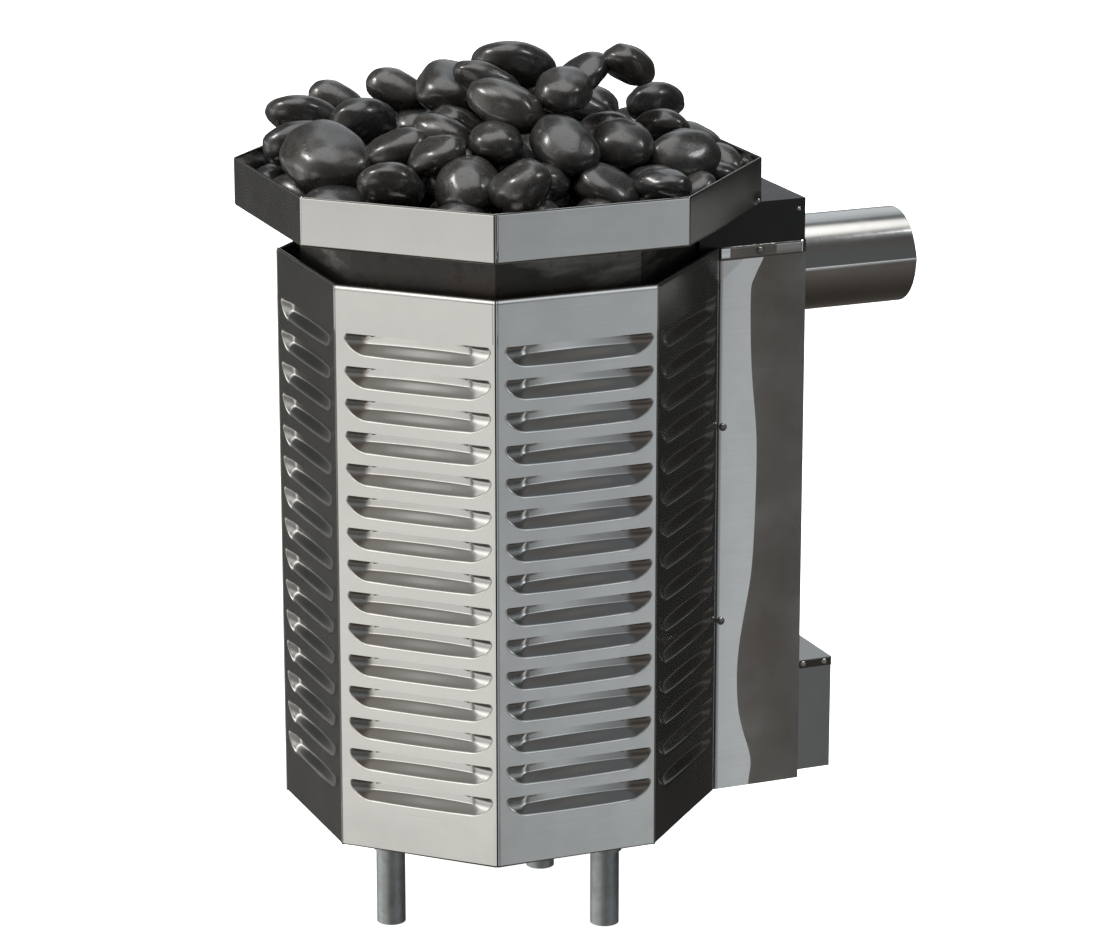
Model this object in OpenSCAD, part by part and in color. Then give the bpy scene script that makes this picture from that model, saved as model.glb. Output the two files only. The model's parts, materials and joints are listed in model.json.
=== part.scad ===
// Gas sauna heater: an octagonal louvred body on three tube legs, a rock tray on top,
// a flue box with a level flue pipe behind it and a control box at its foot.
// Z is up, the front faces -Y and the flue leaves along +Y.

/* [Body] */
// Width of the octagonal body across its flats
body_flats = 406.4; // [380:0.1:450]
// Height of the body, from its bottom rim to its top rim
body_h = 573; // [520:1:660]
// Clear height between the floor and the body
floor_gap = 125; // [100:1:180]
// Thickness of the stainless sheet
sheet = 1.2; // [1:0.1:1.6]

/* [Louvres] */
// Height of one louvre
louvre_h = 22.5; // [18:0.5:26]
// Plain strip between two louvres
louvre_gap = 10; // [8:0.5:16]
// Depth that a louvre is pressed inward
louvre_depth = 9; // [7:0.5:10]
// Plain strip beside a louvre
louvre_side = 8; // [6:0.5:16]
// Plain strip above the first louvre
louvre_top = 47; // [42:1:70]
// Least plain strip under the last louvre
louvre_bottom = 40; // [34:1:60]

/* [Firebox] */
// Free air space between the louvres and the firebox
air_space = 11; // [9:0.5:16]
// Wall of the welded firebox
drum_wall = 2; // [1.5:0.1:3]
// Thickness of the plate that closes the firebox
lid_plate = 3; // [2:0.5:5]
// Diameter of the baffle over the burner
baffle_d = 280; // [200:5:300]

/* [Rock tray] */
// How far the tray stands out past the body on each side
tray_overhang = 38; // [25:1:50]
// Height of the tray's rim
tray_rim_h = 49; // [40:1:70]
// Height of the warm air gap between the body and the tray
tray_gap = 43; // [30:1:60]
// Thickness of the tray's floor
tray_floor = 2; // [1.5:0.5:4]

/* [Stones] */
// Width of a typical stone
stone_d = 74; // [60:1:90]
// Height of a stone as a share of its width
stone_flat_share = 0.64; // [0.5:0.01:0.8]
// Free space between two stones
stone_gap = 0.3; // [0.2:0.1:1]

/* [Flue] */
// Depth of the flue box behind the body
box_d = 96; // [85:1:120]
// Outside diameter of the flue pipe
flue_d = 98; // [80:1:104]
// Wall of the flue pipe
flue_wall = 0.9; // [0.6:0.1:1.5]
// Length of the flue pipe behind the flue box
flue_len = 142.5; // [80:0.5:200]
// Depth of the flue pipe's axis under the body's top rim
flue_drop = 44.6; // [35:0.1:60]

/* [Controls] */
// Depth of the control box
control_d = 38; // [36:1:60]
// Height of the control box
control_h = 120; // [115:1:160]
// Height of the control box over the body's bottom rim
control_lift = 7; // [3:1:20]
// Diameter of the gas knob
knob_d = 32; // [26:1:38]
// Travel of the igniter button
igniter_travel = 6; // [3:0.5:7]
// Travel of the reset button
reset_travel = 4; // [2:0.5:5]
// Outside diameter of the gas pipe
gas_pipe_d = 21.3; // [17:0.1:21.5]
// Length of gas pipe that stands out of the control box
gas_pipe_out = 22; // [15:1:40]

/* [Burner] */
// Outside diameter of the burner ring
burner_d = 184; // [150:1:200]
// Height of the burner ring's middle over the body's bottom rim
burner_lift = 62; // [56:1:75]
// Number of flame ports
port_count = 36; // [12:1:60]
// Diameter of the mixer tube
mixer_d = 32; // [28:1:34]

/* [Legs] */
// Outside diameter of the leg tube
leg_d = 29.5; // [25:0.1:32]
// Wall of the leg tube
leg_wall = 1.6; // [1.2:0.1:2.5]
// Distance from the body's axis to the front leg
leg_front = 121; // [110:1:135]
// Half of the distance between the two rear legs
leg_side = 87; // [75:1:100]
// Distance from the body's axis back to the rear legs
leg_rear = 80; // [70:1:90]

/* [Hidden] */
$fn = 48;

// Angles of an octagon
corner_turn = 360 / 8;
half_turn = corner_turn / 2;

// Overrun of a cut, and the clearances of a loose and of a running fit
over = 1;
loose = 0.3;
running = 0.05;

// Levels and outlines of the body
body_r = body_flats / 2;
face_w = 2 * body_r * tan(half_turn);
body_z = floor_gap;
body_top = body_z + body_h;
tray_z = body_top + tray_gap;
tray_flats = body_flats + 2 * tray_overhang;
drum_flats = body_flats - 2 * (sheet + louvre_depth + air_space);
drum_r = drum_flats / 2;
rear_y = body_r + box_d;
pipe_end_y = rear_y + flue_len;
flue_z = body_top - flue_drop;
// The origin is under the middle of the whole heater, so the body's axis stands forward of it
axis_y = (tray_flats / 2 - pipe_end_y) / 2;

// Louvres
louvre_w = face_w - 2 * louvre_side;
louvre_pitch = louvre_h + louvre_gap;
louvre_count = floor((body_h - louvre_top - louvre_bottom - louvre_h) / louvre_pitch) + 1;
louvre_flat_share = 0.45;
louvre_flat = louvre_h * louvre_flat_share;
ramp_slope = (louvre_depth - sheet) / (louvre_h - louvre_flat);
ramp_wall = sheet * sqrt(1 + ramp_slope * ramp_slope);

// Base pan
pan_t = 2;
pan_rim_h = 20;
pan_flats = body_flats - 2 * sheet;
intake_d = 160;
slot_l = 110;
slot_d = louvre_depth + air_space - 2 * pan_t - 2 * over;
pan_top = body_z + pan_t;

// Leg sockets and their bolts
flange_t = 3;
flange_rim = 15.5;
flange_d = leg_d + 2 * flange_rim;
socket_wall = 2.5;
socket_l = 42;
bolt_inset = 9;
bolt_circle = leg_d + 2 * bolt_inset;
bolt_d = 6;
bolt_head_d = 10;
bolt_head_h = 4;
nut_h = 5;
bolts_per_leg = 3;
set_screw_d = 6;
leg_places = [[0, -leg_front], [-leg_side, leg_rear], [leg_side, leg_rear]];
foot_t = 2.5;

// Floor shield and burner brackets
shield_d = 190;
shield_lift = 14;
shield_t = 1.5;
spacer_d = 9;
spacer_circle = 172;
bracket_w = 18;
bracket_t = 2;
bracket_reach = 20;
bracket_circle = burner_d + 2 * bracket_reach;
bracket_foot = 14;

// Corner angles and spacer brackets
angle_leg = louvre_side - loose - sheet;
angle_t = 1.5;
spacer_drop = 26;
spacer_h = 12;
spacer_w = 22;
spacer_t = 1.5;

// Firebox ports and baffle
flue_port_w = 110;
flue_port_h = 96;
burner_port_w = 116;
burner_port_h = 104;
burner_port_lift = 18;
baffle_t = 2;
baffle_drop = 190;
baffle_tab_w = 30;

// Burner, its mixer tube and the air shutter
burner_z = body_z + burner_lift;
ring_w = 32;
ring_h = 22;
ring_wall = 4;
port_d = 3.2;
mixer_wall = 3;
mixer_inset = 75;
mixer_end_y = rear_y - mixer_inset;
mixer_cap = 2.5;
window_l = 18;
window_h = 13;
window_inset = 12;
shutter_wall = 1.5;
shutter_lap = 4;
shutter_l = window_l + 2 * shutter_lap;
tab_w = 9;
tab_h = 11;
tab_t = 2;

// Gas valve, manifold and orifice
valve_w = 80;
valve_h = 62;
valve_inset = 37;
valve_d = 63;
valve_drop = 27;
valve_y0 = rear_y - valve_inset;
valve_y1 = valve_y0 + valve_d;
valve_z0 = burner_z - valve_drop;
boss_d = 30;
boss_l = 8;
stem_d = 8;
stem_boss_d = 16;
stem_boss_l = 4;
orifice_hex_l = 14;
manifold_y0 = mixer_end_y + orifice_hex_l;
orifice_hex_d = 18;
orifice_nose_d = 8;
orifice_nose_l = 12;
inlet_out = 13;
nipple_d = 18.5;
nipple_wall = 1.5;
inlet_y = rear_y + inlet_out;
cap_d = 26;
cap_h = 14;

// Pilot group
pilot_y = 107;
pilot_x = 27;
thermocouple_x = 37;
electrode_x = 49;
pilot_d = 11;
pilot_h = 34;
pilot_hood_w = 14;
probe_d = 6;
probe_h = 40;
ceramic_d = 7;
ceramic_h = 32;
tip_d = 2;
tip_h = 9;
pilot_drop = 14;
pilot_plate_t = 2;
pilot_plate_d = 18;
pilot_plate_end = 56;
pilot_tube_d = 4;
thermocouple_d = 3;
spark_lead_d = 5;
spill_wire_d = 3;
lead_stub = 6;
lead_bend = 14;
lead_dip = 18;
lead_run = 60;
lead_sides = 8;
lead_step_share = 0.25;

// Flue box and what it holds
box_wall = 1.2;
box_half = face_w / 2 - sheet;
box_rear = rear_y - sheet;
box_top = tray_z - loose;
box_flange = 18;
control_hole_w = 124;
control_hole_h = 108;
control_hole_lift = 12;
draft_t = 1.2;
draft_drop = 150;
draft_rise = 42;
draft_reach = 74;
shelf_lift = 172;
shelf_t = 1.2;
shelf_gap = 22;
collar_flange = 12;
collar_t = 1.2;
collar_l = 26;
rivet_d = 5;
rivet_shank_d = 3;
rivet_h = 1.6;
hood_rivet_inset = 7;
hood_rivet_drop = 11;
spill_d = 26;
spill_t = 7;
spill_lift = 290;
spill_tab = 1.5;

// Side covers
seam = 0.5;
lip_h = 13;
lip_proud = 1.2;
cover_return = 12;
screw_d = 4;
screw_head_d = 8;
screw_head_h = 2.6;
screw_inset = 6;
lip_screw_share = 0.46;
cover_screw_shares = [0.318, 0.676];

// Control box
control_inset = 4.2;
control_half = face_w / 2 - control_inset;
control_z = body_z + control_lift;
control_y = rear_y + control_d;
control_flange = 8;
lid_fold = 9;
control_screw_shares = [0.15, 0.78];
control_screw_d = 3;
control_head_d = 6.5;
control_head_h = 2;

// Knob, buttons, igniter, terminal block and bushing
knob_x = 18;
knob_rise = 20;
knob_z = burner_z + knob_rise;
knob_l = 14;
knob_gap = 1.5;
grip_w = 7;
grip_h = 6;
reset_x = -14;
reset_d = 12;
reset_out = 8;
reset_bore = 12;
igniter_x = -57;
igniter_lift = 88;
igniter_z = control_z + igniter_lift;
igniter_d = 17;
igniter_l = 34;
igniter_flange_d = 23;
igniter_flange_t = 2.5;
igniter_nut_h = 5;
igniter_button_d = 12;
igniter_button_out = 10;
igniter_bore_l = 12;
terminal_w = 24;
terminal_l = 14;
terminal_h = 12;
terminal_screw_d = 5;
terminal_x = 22;
bushing_x = 56;
bushing_lift = 24;
bushing_z = control_z + bushing_lift;
bushing_d = 14;
bushing_flange_d = 18;
bushing_flange_t = 2;
bushing_bore = 9;

// Rock tray
tray_r = tray_flats / 2;
tray_rim_w = 2 * sheet;
tray_hem_h = 11;
tray_rivet_inset = 7;
tray_rivet_along = tray_r * tan(half_turn) - tray_rivet_inset;
tray_rivet_lift = 6;

// Finishes
stainless = [0.77, 0.77, 0.75];
tray_steel = [0.72, 0.72, 0.70];
dull_zinc = [0.55, 0.60, 0.62];
black_paint = [0.10, 0.10, 0.11];
hot_steel = [0.30, 0.30, 0.31];
iron = [0.24, 0.23, 0.23];
brass = [0.78, 0.62, 0.30];
copper = [0.75, 0.45, 0.30];
rock = [0.20, 0.20, 0.21];
red = [0.75, 0.10, 0.08];

// Places the body's axis at the origin of what it holds
module at_axis() {
    translate([0, axis_y, 0]) children();
}

// An upright octagonal prism whose flats face along X and Y
module octagon_prism(flats, h) {
    rotate([0, 0, half_turn]) cylinder(d = flats / cos(half_turn), h = h, $fn = 8);
}

// A cylinder along +Y
module along_y(d, l) {
    rotate([-90, 0, 0]) cylinder(d = d, h = l);
}

// A cylinder along +X
module along_x(d, l) {
    rotate([0, 90, 0]) cylinder(d = d, h = l);
}

// A pan head screw along +X whose head stands on the plane x = 0
module side_screw(d, head_d, head_h, l) {
    rotate([0, 90, 0]) rotate_extrude() polygon([[0, -l], [d / 2, -l], [d / 2, 0], [head_d / 2, 0],
        [head_d / 2, head_h * 0.4], [head_d * 0.38, head_h * 0.85], [head_d * 0.2, head_h], [0, head_h]]);
}

// A button head rivet along +X whose head stands on the plane x = 0
module side_rivet(l) {
    rotate([0, 90, 0]) rotate_extrude() polygon([[0, -l], [rivet_shank_d / 2, -l], [rivet_shank_d / 2, 0],
        [rivet_d / 2, 0], [rivet_d * 0.42, rivet_h * 0.6], [rivet_d * 0.2, rivet_h], [0, rivet_h]]);
}

// A point on a smooth curve through the route's points
function spline(p0, p1, p2, p3, t) = 0.5 * (2 * p1 + (p2 - p0) * t + (2 * p0 - 5 * p1 + 4 * p2 - p3) * t * t
    + (3 * p1 - p0 - 3 * p2 + p3) * t * t * t);
function curve(route) = let (n = len(route)) [for (i = [0 : n - 2]) for (t = [0 : lead_step_share : 0.99])
    spline(route[max(i - 1, 0)], route[i], route[i + 1], route[min(i + 2, n - 1)], t), route[n - 1]];
function unit(v) = v / norm(v);
function tangent(path, i) = unit(path[min(i + 1, len(path) - 1)] - path[max(i - 1, 0)]);

// A round lead swept along a curve, as one closed solid
module lead(route, d) {
    path = curve(route);
    points = [for (i = [0 : len(path) - 1]) let (along = tangent(path, i),
        side = unit(cross(along, [1, 0, 0])), rise = cross(side, along))
        for (k = [0 : lead_sides - 1]) let (a = 360 * k / lead_sides)
            path[i] + d / 2 * (cos(a) * side + sin(a) * rise)];
    walls = [for (i = [0 : len(path) - 2]) for (k = [0 : lead_sides - 1])
        let (a = i * lead_sides + k, b = i * lead_sides + (k + 1) % lead_sides)
            [a, b, b + lead_sides, a + lead_sides]];
    first = [for (k = [lead_sides - 1 : -1 : 0]) k];
    last = [for (k = [0 : lead_sides - 1]) (len(path) - 1) * lead_sides + k];
    polyhedron(concat(points), concat(walls, [first, last]));
}

// Legs
module leg(place) {
    color(dull_zinc) at_axis() translate([place.x, place.y, 0]) difference() {
        cylinder(d = leg_d, h = body_z - flange_t);
        translate([0, 0, foot_t]) cylinder(d = leg_d - 2 * leg_wall, h = body_z);
    }
}

module leg_front() {
    leg(leg_places[0]);
}

module leg_rear_left() {
    leg(leg_places[1]);
}

module leg_rear_right() {
    leg(leg_places[2]);
}

function bolt_places() = [for (place = leg_places) for (k = [0 : bolts_per_leg - 1])
    let (a = 30 + 360 * k / bolts_per_leg) place + bolt_circle / 2 * [cos(a), sin(a)]];

module leg_sockets() {
    color(dull_zinc) at_axis() difference() {
        for (place = leg_places) translate([place.x, place.y, body_z - flange_t]) {
            cylinder(d = flange_d, h = flange_t);
            translate([0, 0, -socket_l]) difference() {
                cylinder(d = leg_d + 2 * loose + 2 * socket_wall, h = socket_l + flange_t / 2);
                translate([0, 0, -over]) cylinder(d = leg_d + 2 * loose, h = socket_l + over);
            }
        }
        for (place = bolt_places()) translate([place.x, place.y, body_z - flange_t - over])
            cylinder(d = bolt_d + 2 * loose, h = flange_t + 2 * over);
        for (place = leg_places) translate([place.x, place.y - leg_d, body_z - flange_t - socket_l / 2])
            along_y(set_screw_d + 2 * loose, leg_d);
    }
}

module leg_bolts() {
    color(dull_zinc) at_axis() {
        for (place = bolt_places()) translate([place.x, place.y, 0]) {
            translate([0, 0, body_z - flange_t - bolt_head_h])
                cylinder(d = bolt_head_d, h = bolt_head_h, $fn = 6);
            translate([0, 0, body_z - flange_t - over])
                cylinder(d = bolt_d, h = flange_t + pan_t + nut_h + 2 * over);
            translate([0, 0, pan_top]) cylinder(d = bolt_head_d, h = nut_h, $fn = 6);
        }
        for (place = leg_places) translate([place.x, place.y - leg_d / 2 - loose - socket_wall - over,
            body_z - flange_t - socket_l / 2]) along_y(set_screw_d, socket_wall + over + loose / 2);
    }
}

// Base pan that the legs, the firebox and the panels stand on
module base_pan() {
    color(hot_steel) at_axis() translate([0, 0, body_z]) difference() {
        octagon_prism(pan_flats, pan_rim_h);
        translate([0, 0, pan_t]) octagon_prism(pan_flats - 2 * pan_t, pan_rim_h);
        translate([0, 0, -over]) cylinder(d = intake_d, h = pan_t + 2 * over);
        for (k = [0 : 6]) rotate([0, 0, corner_turn * k - 3 * corner_turn])
            translate([-slot_l / 2, -pan_flats / 2 + pan_t + over, -over])
                cube([slot_l, slot_d, pan_t + 2 * over]);
        translate([-box_half - loose, drum_r - loose, -over])
            cube([2 * (box_half + loose), body_r, pan_rim_h + 2 * over]);
        for (place = bolt_places()) translate([place.x, place.y, -over])
            cylinder(d = bolt_d + 2 * loose, h = pan_t + 2 * over);
    }
}

module floor_shield() {
    color(hot_steel) at_axis() translate([0, 0, pan_top]) {
        translate([0, 0, shield_lift]) cylinder(d = shield_d, h = shield_t);
        for (a = [90, 210, 330]) rotate([0, 0, a]) translate([spacer_circle / 2, 0, 0])
            cylinder(d = spacer_d, h = shield_lift + shield_t / 2);
    }
}

// Louvres, drawn in the front panel's place: the outer face is the plane y = 0 and r counts down
// from the louvre's cut top edge
module louvre_form(points) {
    rotate([90, 0, 90]) translate([0, 0, louvre_h - louvre_w / 2]) linear_extrude(louvre_w - 2 * louvre_h)
        polygon([for (p = points) [p.y, -p.x]]);
    for (side = [0, 1]) mirror([side, 0, 0]) translate([louvre_w / 2 - louvre_h, 0, 0])
        rotate([-90, 0, 0]) rotate_extrude(angle = 90) polygon(points);
}

module louvre_back() {
    louvre_form([[0, sheet / 2], [louvre_h, sheet / 2], [louvre_h, sheet], [louvre_flat, louvre_depth],
        [0, louvre_depth]]);
}

module louvre_hollow() {
    foot = louvre_h - (ramp_wall - sheet) / ramp_slope;
    brow = louvre_h - (louvre_depth - 2 * sheet + ramp_wall) / ramp_slope;
    louvre_form([[0, -over], [foot, -over], [foot, 0], [brow, louvre_depth - sheet],
        [0, louvre_depth - sheet]]);
}

module panel(turns) {
    inner_w = face_w - 2 * sheet * tan(half_turn);
    color(stainless) at_axis() rotate([0, 0, corner_turn * turns]) translate([0, -body_r, body_z])
        difference() {
        union() {
            linear_extrude(body_h) polygon([[-face_w / 2, 0], [face_w / 2, 0], [inner_w / 2, sheet],
                [-inner_w / 2, sheet]]);
            for (i = [0 : louvre_count - 1]) translate([0, 0, body_h - louvre_top - i * louvre_pitch])
                louvre_back();
        }
        for (i = [0 : louvre_count - 1]) translate([0, 0, body_h - louvre_top - i * louvre_pitch])
            louvre_hollow();
    }
}

module panel_front() {
    panel(0);
}

module panel_front_left() {
    panel(-1);
}

module panel_front_right() {
    panel(1);
}

module panel_left() {
    panel(-2);
}

module panel_right() {
    panel(2);
}

module panel_rear_left() {
    panel(-3);
}

module panel_rear_right() {
    panel(3);
}

// Folded angles that join the panels behind six of the corners
module corner_angles() {
    inner = (body_r - sheet) / cos(half_turn);
    turn = 90 + half_turn;
    arm = angle_leg * [cos(turn), sin(turn)];
    back = angle_t * [-cos(half_turn), -sin(half_turn)];
    color(hot_steel) at_axis() translate([0, 0, body_z + pan_rim_h + loose])
        for (k = [-3 : 2]) rotate([0, 0, corner_turn * k - 90 + half_turn])
            linear_extrude(body_h - pan_rim_h - 2 * loose) polygon([[inner, 0], [inner + arm.x, arm.y],
                [inner + arm.x + back.x, arm.y + back.y], [inner - angle_t / cos(half_turn), 0],
                [inner + arm.x + back.x, -arm.y - back.y], [inner + arm.x, -arm.y]]);
}

// Z brackets that hold the panels off the firebox
module spacer_brackets() {
    reach = body_r - sheet - drum_r;
    color(hot_steel) at_axis() for (k = [-3 : 3]) rotate([0, 0, corner_turn * k])
        translate([-spacer_w / 2, -drum_r - reach, body_top - spacer_drop]) {
            cube([spacer_w, spacer_t, spacer_h]);
            cube([spacer_w, reach, spacer_t]);
            translate([0, reach - spacer_t, -spacer_h]) cube([spacer_w, spacer_t, spacer_h + spacer_t]);
        }
}

// Welded firebox with its flue port and burner port at the back
module firebox() {
    color(hot_steel) at_axis() difference() {
        translate([0, 0, pan_top]) octagon_prism(drum_flats, tray_z - lid_plate - pan_top);
        translate([0, 0, body_z]) octagon_prism(drum_flats - 2 * drum_wall, body_h + 2 * tray_gap);
        translate([-flue_port_w / 2, 0, flue_z - flue_port_h / 2]) cube([flue_port_w, body_r, flue_port_h]);
        translate([-burner_port_w / 2, 0, body_z + burner_port_lift])
            cube([burner_port_w, body_r, burner_port_h]);
    }
}

module firebox_lid() {
    color(hot_steel) at_axis() translate([0, 0, tray_z - lid_plate])
        octagon_prism(drum_flats, lid_plate - running);
}

module baffle() {
    reach = drum_flats - 2 * drum_wall - 2 * loose;
    color(hot_steel) at_axis() translate([0, 0, body_top - baffle_drop]) {
        cylinder(d = baffle_d, h = baffle_t);
        for (a = [0, 90]) rotate([0, 0, a]) translate([-reach / 2, -baffle_tab_w / 2, 0])
            cube([reach, baffle_tab_w, baffle_t]);
    }
}

// Cast ring burner with its mixer tube
module burner() {
    outer = burner_d / 2;
    inner = outer - ring_w;
    mixer_l = mixer_end_y - outer + ring_wall * 2;
    color(iron) at_axis() translate([0, 0, burner_z]) difference() {
        union() {
            rotate_extrude() translate([inner, -ring_h / 2]) square([ring_w, ring_h]);
            translate([0, mixer_end_y - mixer_l, 0]) along_y(mixer_d, mixer_l);
        }
        rotate_extrude() translate([inner + ring_wall, ring_wall - ring_h / 2])
            square([ring_w - 2 * ring_wall, ring_h - 2 * ring_wall]);
        translate([0, outer - ring_wall * 1.5, 0])
            along_y(mixer_d - 2 * mixer_wall, mixer_end_y - mixer_cap - outer + ring_wall * 1.5);
        translate([0, mixer_end_y - 2 * mixer_cap, 0]) along_y(orifice_nose_d + 2 * loose, 3 * mixer_cap);
        translate([-mixer_d, mixer_end_y - window_inset - window_l, -window_h / 2])
            cube([2 * mixer_d, window_l, window_h]);
        for (k = [0 : port_count - 1]) rotate([0, 0, 360 * k / port_count])
            translate([inner + ring_w / 2, 0, 0]) cylinder(d = port_d, h = ring_h);
    }
}

module burner_brackets() {
    foot_x = bracket_circle / 2;
    post_h = burner_z - ring_h / 2 - pan_top;
    color(hot_steel) at_axis() for (a = [0, 180, 270]) rotate([0, 0, a])
        translate([0, -bracket_w / 2, pan_top]) {
        translate([foot_x, 0, 0]) cube([bracket_t, bracket_w, post_h]);
        translate([foot_x, 0, 0]) cube([bracket_foot, bracket_w, bracket_t]);
        translate([burner_d / 2 - bracket_foot, 0, post_h - bracket_t])
            cube([foot_x - burner_d / 2 + bracket_foot + bracket_t, bracket_w, bracket_t]);
    }
}

// Collar that turns on the mixer tube to set the air, with a tab to turn it by
module air_shutter() {
    y0 = mixer_end_y - window_inset - (window_l + shutter_l) / 2;
    outer = mixer_d / 2 + running + shutter_wall;
    color(brass) at_axis() translate([0, y0, burner_z]) difference() {
        union() {
            along_y(2 * outer, shutter_l);
            translate([-tab_t / 2, (shutter_l - tab_w) / 2, outer - shutter_wall / 2])
                cube([tab_t, tab_w, tab_h + shutter_wall / 2]);
        }
        translate([0, -over, 0]) along_y(mixer_d + 2 * running, shutter_l + 2 * over);
        translate([-mixer_d, (shutter_l - window_l) / 2, -window_h / 2])
            cube([2 * mixer_d, window_l, window_h]);
    }
}

module orifice() {
    color(brass) at_axis() translate([0, 0, burner_z]) difference() {
        union() {
            translate([0, mixer_end_y + loose, 0]) rotate([-90, 0, 0])
                cylinder(d = orifice_hex_d, h = manifold_y0 - mixer_end_y - loose, $fn = 6);
            translate([0, mixer_end_y - orifice_nose_l, 0])
                along_y(orifice_nose_d, orifice_nose_l + 1.5 * over);
        }
        translate([0, mixer_end_y - orifice_nose_l - over, 0])
            along_y(port_d, manifold_y0 - mixer_end_y + body_r);
    }
}

module gas_manifold() {
    color(dull_zinc) at_axis() translate([0, manifold_y0, burner_z]) difference() {
        union() {
            along_y(gas_pipe_d, valve_y0 - boss_l - manifold_y0);
            translate([0, boss_l / 2, 0]) rotate([-90, 0, 0]) cylinder(d = boss_d, h = boss_l, $fn = 6);
        }
        translate([0, -over, 0]) along_y(gas_pipe_d * 0.7, body_r);
    }
}

// Pilot burner, thermocouple and spark electrode on one bracket
module pilot_bracket() {
    color(hot_steel) at_axis() difference() {
        translate([-pilot_plate_end, pilot_y - pilot_plate_d / 2, burner_z - pilot_plate_t / 2])
            cube([pilot_plate_end - mixer_d / 2 - loose, pilot_plate_d, pilot_plate_t]);
        translate([-pilot_x, pilot_y, burner_z - pilot_plate_t])
            cylinder(d = pilot_d + loose, h = 2 * pilot_plate_t);
        translate([-thermocouple_x, pilot_y, burner_z - pilot_plate_t])
            cylinder(d = probe_d + loose, h = 2 * pilot_plate_t);
        translate([-electrode_x, pilot_y, burner_z - pilot_plate_t])
            cylinder(d = ceramic_d + loose, h = 2 * pilot_plate_t);
    }
}

module pilot_burner() {
    color(brass) at_axis() translate([-pilot_x, pilot_y, burner_z - pilot_drop]) difference() {
        union() {
            cylinder(d = pilot_d, h = pilot_h);
            translate([0, 0, pilot_drop + 2 * pilot_plate_t])
                cylinder(d = pilot_hood_w, h = pilot_h / 4, $fn = 6);
        }
        translate([0, 0, pilot_h / 2]) cylinder(d = pilot_d / 2, h = pilot_h);
    }
}

// Route of a lead from the pilot bracket, down and back under the burner to the valve's front at height z
function pilot_route(x, z) = let (foot_z = burner_z - pilot_drop, low_z = foot_z - lead_dip)
    [[-x, pilot_y, foot_z - loose], [-x, pilot_y, foot_z - lead_stub], [-x, pilot_y + lead_bend, low_z],
    [-x, pilot_y + lead_run, low_z], [-x, valve_y0 - 2 * lead_bend, (low_z + z) / 2],
    [-x, valve_y0 - 2 * lead_stub, z], [-x, valve_y0 - loose, z]];

module thermocouple() {
    foot_z = burner_z - pilot_drop;
    color(copper) at_axis() {
        translate([-thermocouple_x, pilot_y, foot_z - over]) cylinder(d = probe_d, h = probe_h + over);
        lead(pilot_route(thermocouple_x, foot_z), thermocouple_d);
    }
}

module spark_electrode() {
    color("white") at_axis() translate([-electrode_x, pilot_y, burner_z - pilot_drop]) {
        cylinder(d = ceramic_d, h = ceramic_h);
        cylinder(d = tip_d, h = ceramic_h + tip_h);
    }
}

module spark_lead() {
    foot_z = burner_z - pilot_drop;
    low_z = foot_z - lead_dip;
    end_y = control_y - box_wall - igniter_l - loose;
    x = -electrode_x;
    color(red) at_axis() lead([[x, pilot_y, foot_z - loose], [x, pilot_y, foot_z - lead_stub],
        [x, pilot_y + lead_bend, low_z], [x, pilot_y + lead_run, low_z],
        [x, valve_y0 - lead_run, low_z + lead_stub], [x, valve_y0 - lead_bend, foot_z + lead_bend],
        [igniter_x, valve_y0 + lead_stub, igniter_z - lead_bend], [igniter_x, end_y - lead_stub, igniter_z],
        [igniter_x, end_y, igniter_z]], spark_lead_d);
}

module pilot_tube() {
    color("silver") at_axis() lead(pilot_route(pilot_x, burner_z - pilot_drop), pilot_tube_d);
}

// Black flue box: sides, back and top in one, open to the firebox and at its foot
module flue_box() {
    color(black_paint) at_axis() difference() {
        translate([-box_half, drum_r, body_z]) cube([2 * box_half, box_rear - drum_r, box_top - body_z]);
        translate([-box_half + box_wall, drum_r + box_wall, body_z - over])
            cube([2 * (box_half - box_wall), box_rear - drum_r - 2 * box_wall,
                box_top - box_wall - body_z + over]);
        translate([-box_half + box_flange, drum_r - over, body_z - over])
            cube([2 * (box_half - box_flange), box_wall + 2 * over, box_top - box_wall - body_z + over]);
        translate([-control_hole_w / 2, box_rear - box_wall - over, body_z + control_hole_lift])
            cube([control_hole_w, box_wall + 2 * over, control_hole_h]);
        translate([0, box_rear - box_wall - over, flue_z])
            along_y(flue_d - 2 * flue_wall + loose, box_wall + 2 * over);
        for (side = [-1, 1]) {
            for (share = cover_screw_shares)
                translate([side * box_half - box_wall - over, body_r + screw_inset, body_z + body_h * share])
                    along_x(screw_d + loose, 2 * (box_wall + over));
            translate([side * box_half - box_wall - over, body_r + box_d * lip_screw_share,
                body_top - lip_h / 2]) along_x(screw_d + loose, 2 * (box_wall + over));
            translate([side * box_half - box_wall - over, box_rear - hood_rivet_inset,
                box_top - hood_rivet_drop]) along_x(rivet_shank_d + loose / 2, 2 * (box_wall + over));
        }
    }
}

// Sloping baffle that keeps a down draught off the burner
module draft_baffle() {
    half = box_half - box_wall - loose;
    foot = drum_r + box_wall + loose;
    color(hot_steel) at_axis() translate([-half, 0, flue_z - draft_drop]) rotate([90, 0, 90])
        linear_extrude(2 * half) polygon([[foot, 0], [foot + draft_reach, draft_rise],
            [foot + draft_reach, draft_rise + draft_t], [foot, draft_t]]);
}

module heat_shelf() {
    half = box_half - box_wall - loose;
    y0 = drum_r + box_wall + loose;
    color(hot_steel) at_axis() translate([-half, y0, body_z + shelf_lift])
        cube([2 * half, box_rear - box_wall - shelf_gap - y0, shelf_t]);
}

module flue_collar() {
    outer = flue_d - 2 * flue_wall - loose;
    color(hot_steel) at_axis() translate([0, box_rear - box_wall - collar_t, flue_z]) difference() {
        union() {
            along_y(outer + 2 * collar_flange, collar_t);
            along_y(outer, collar_l);
        }
        translate([0, -over, 0]) along_y(outer - 2 * collar_t, collar_l + 2 * over);
    }
}

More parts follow.
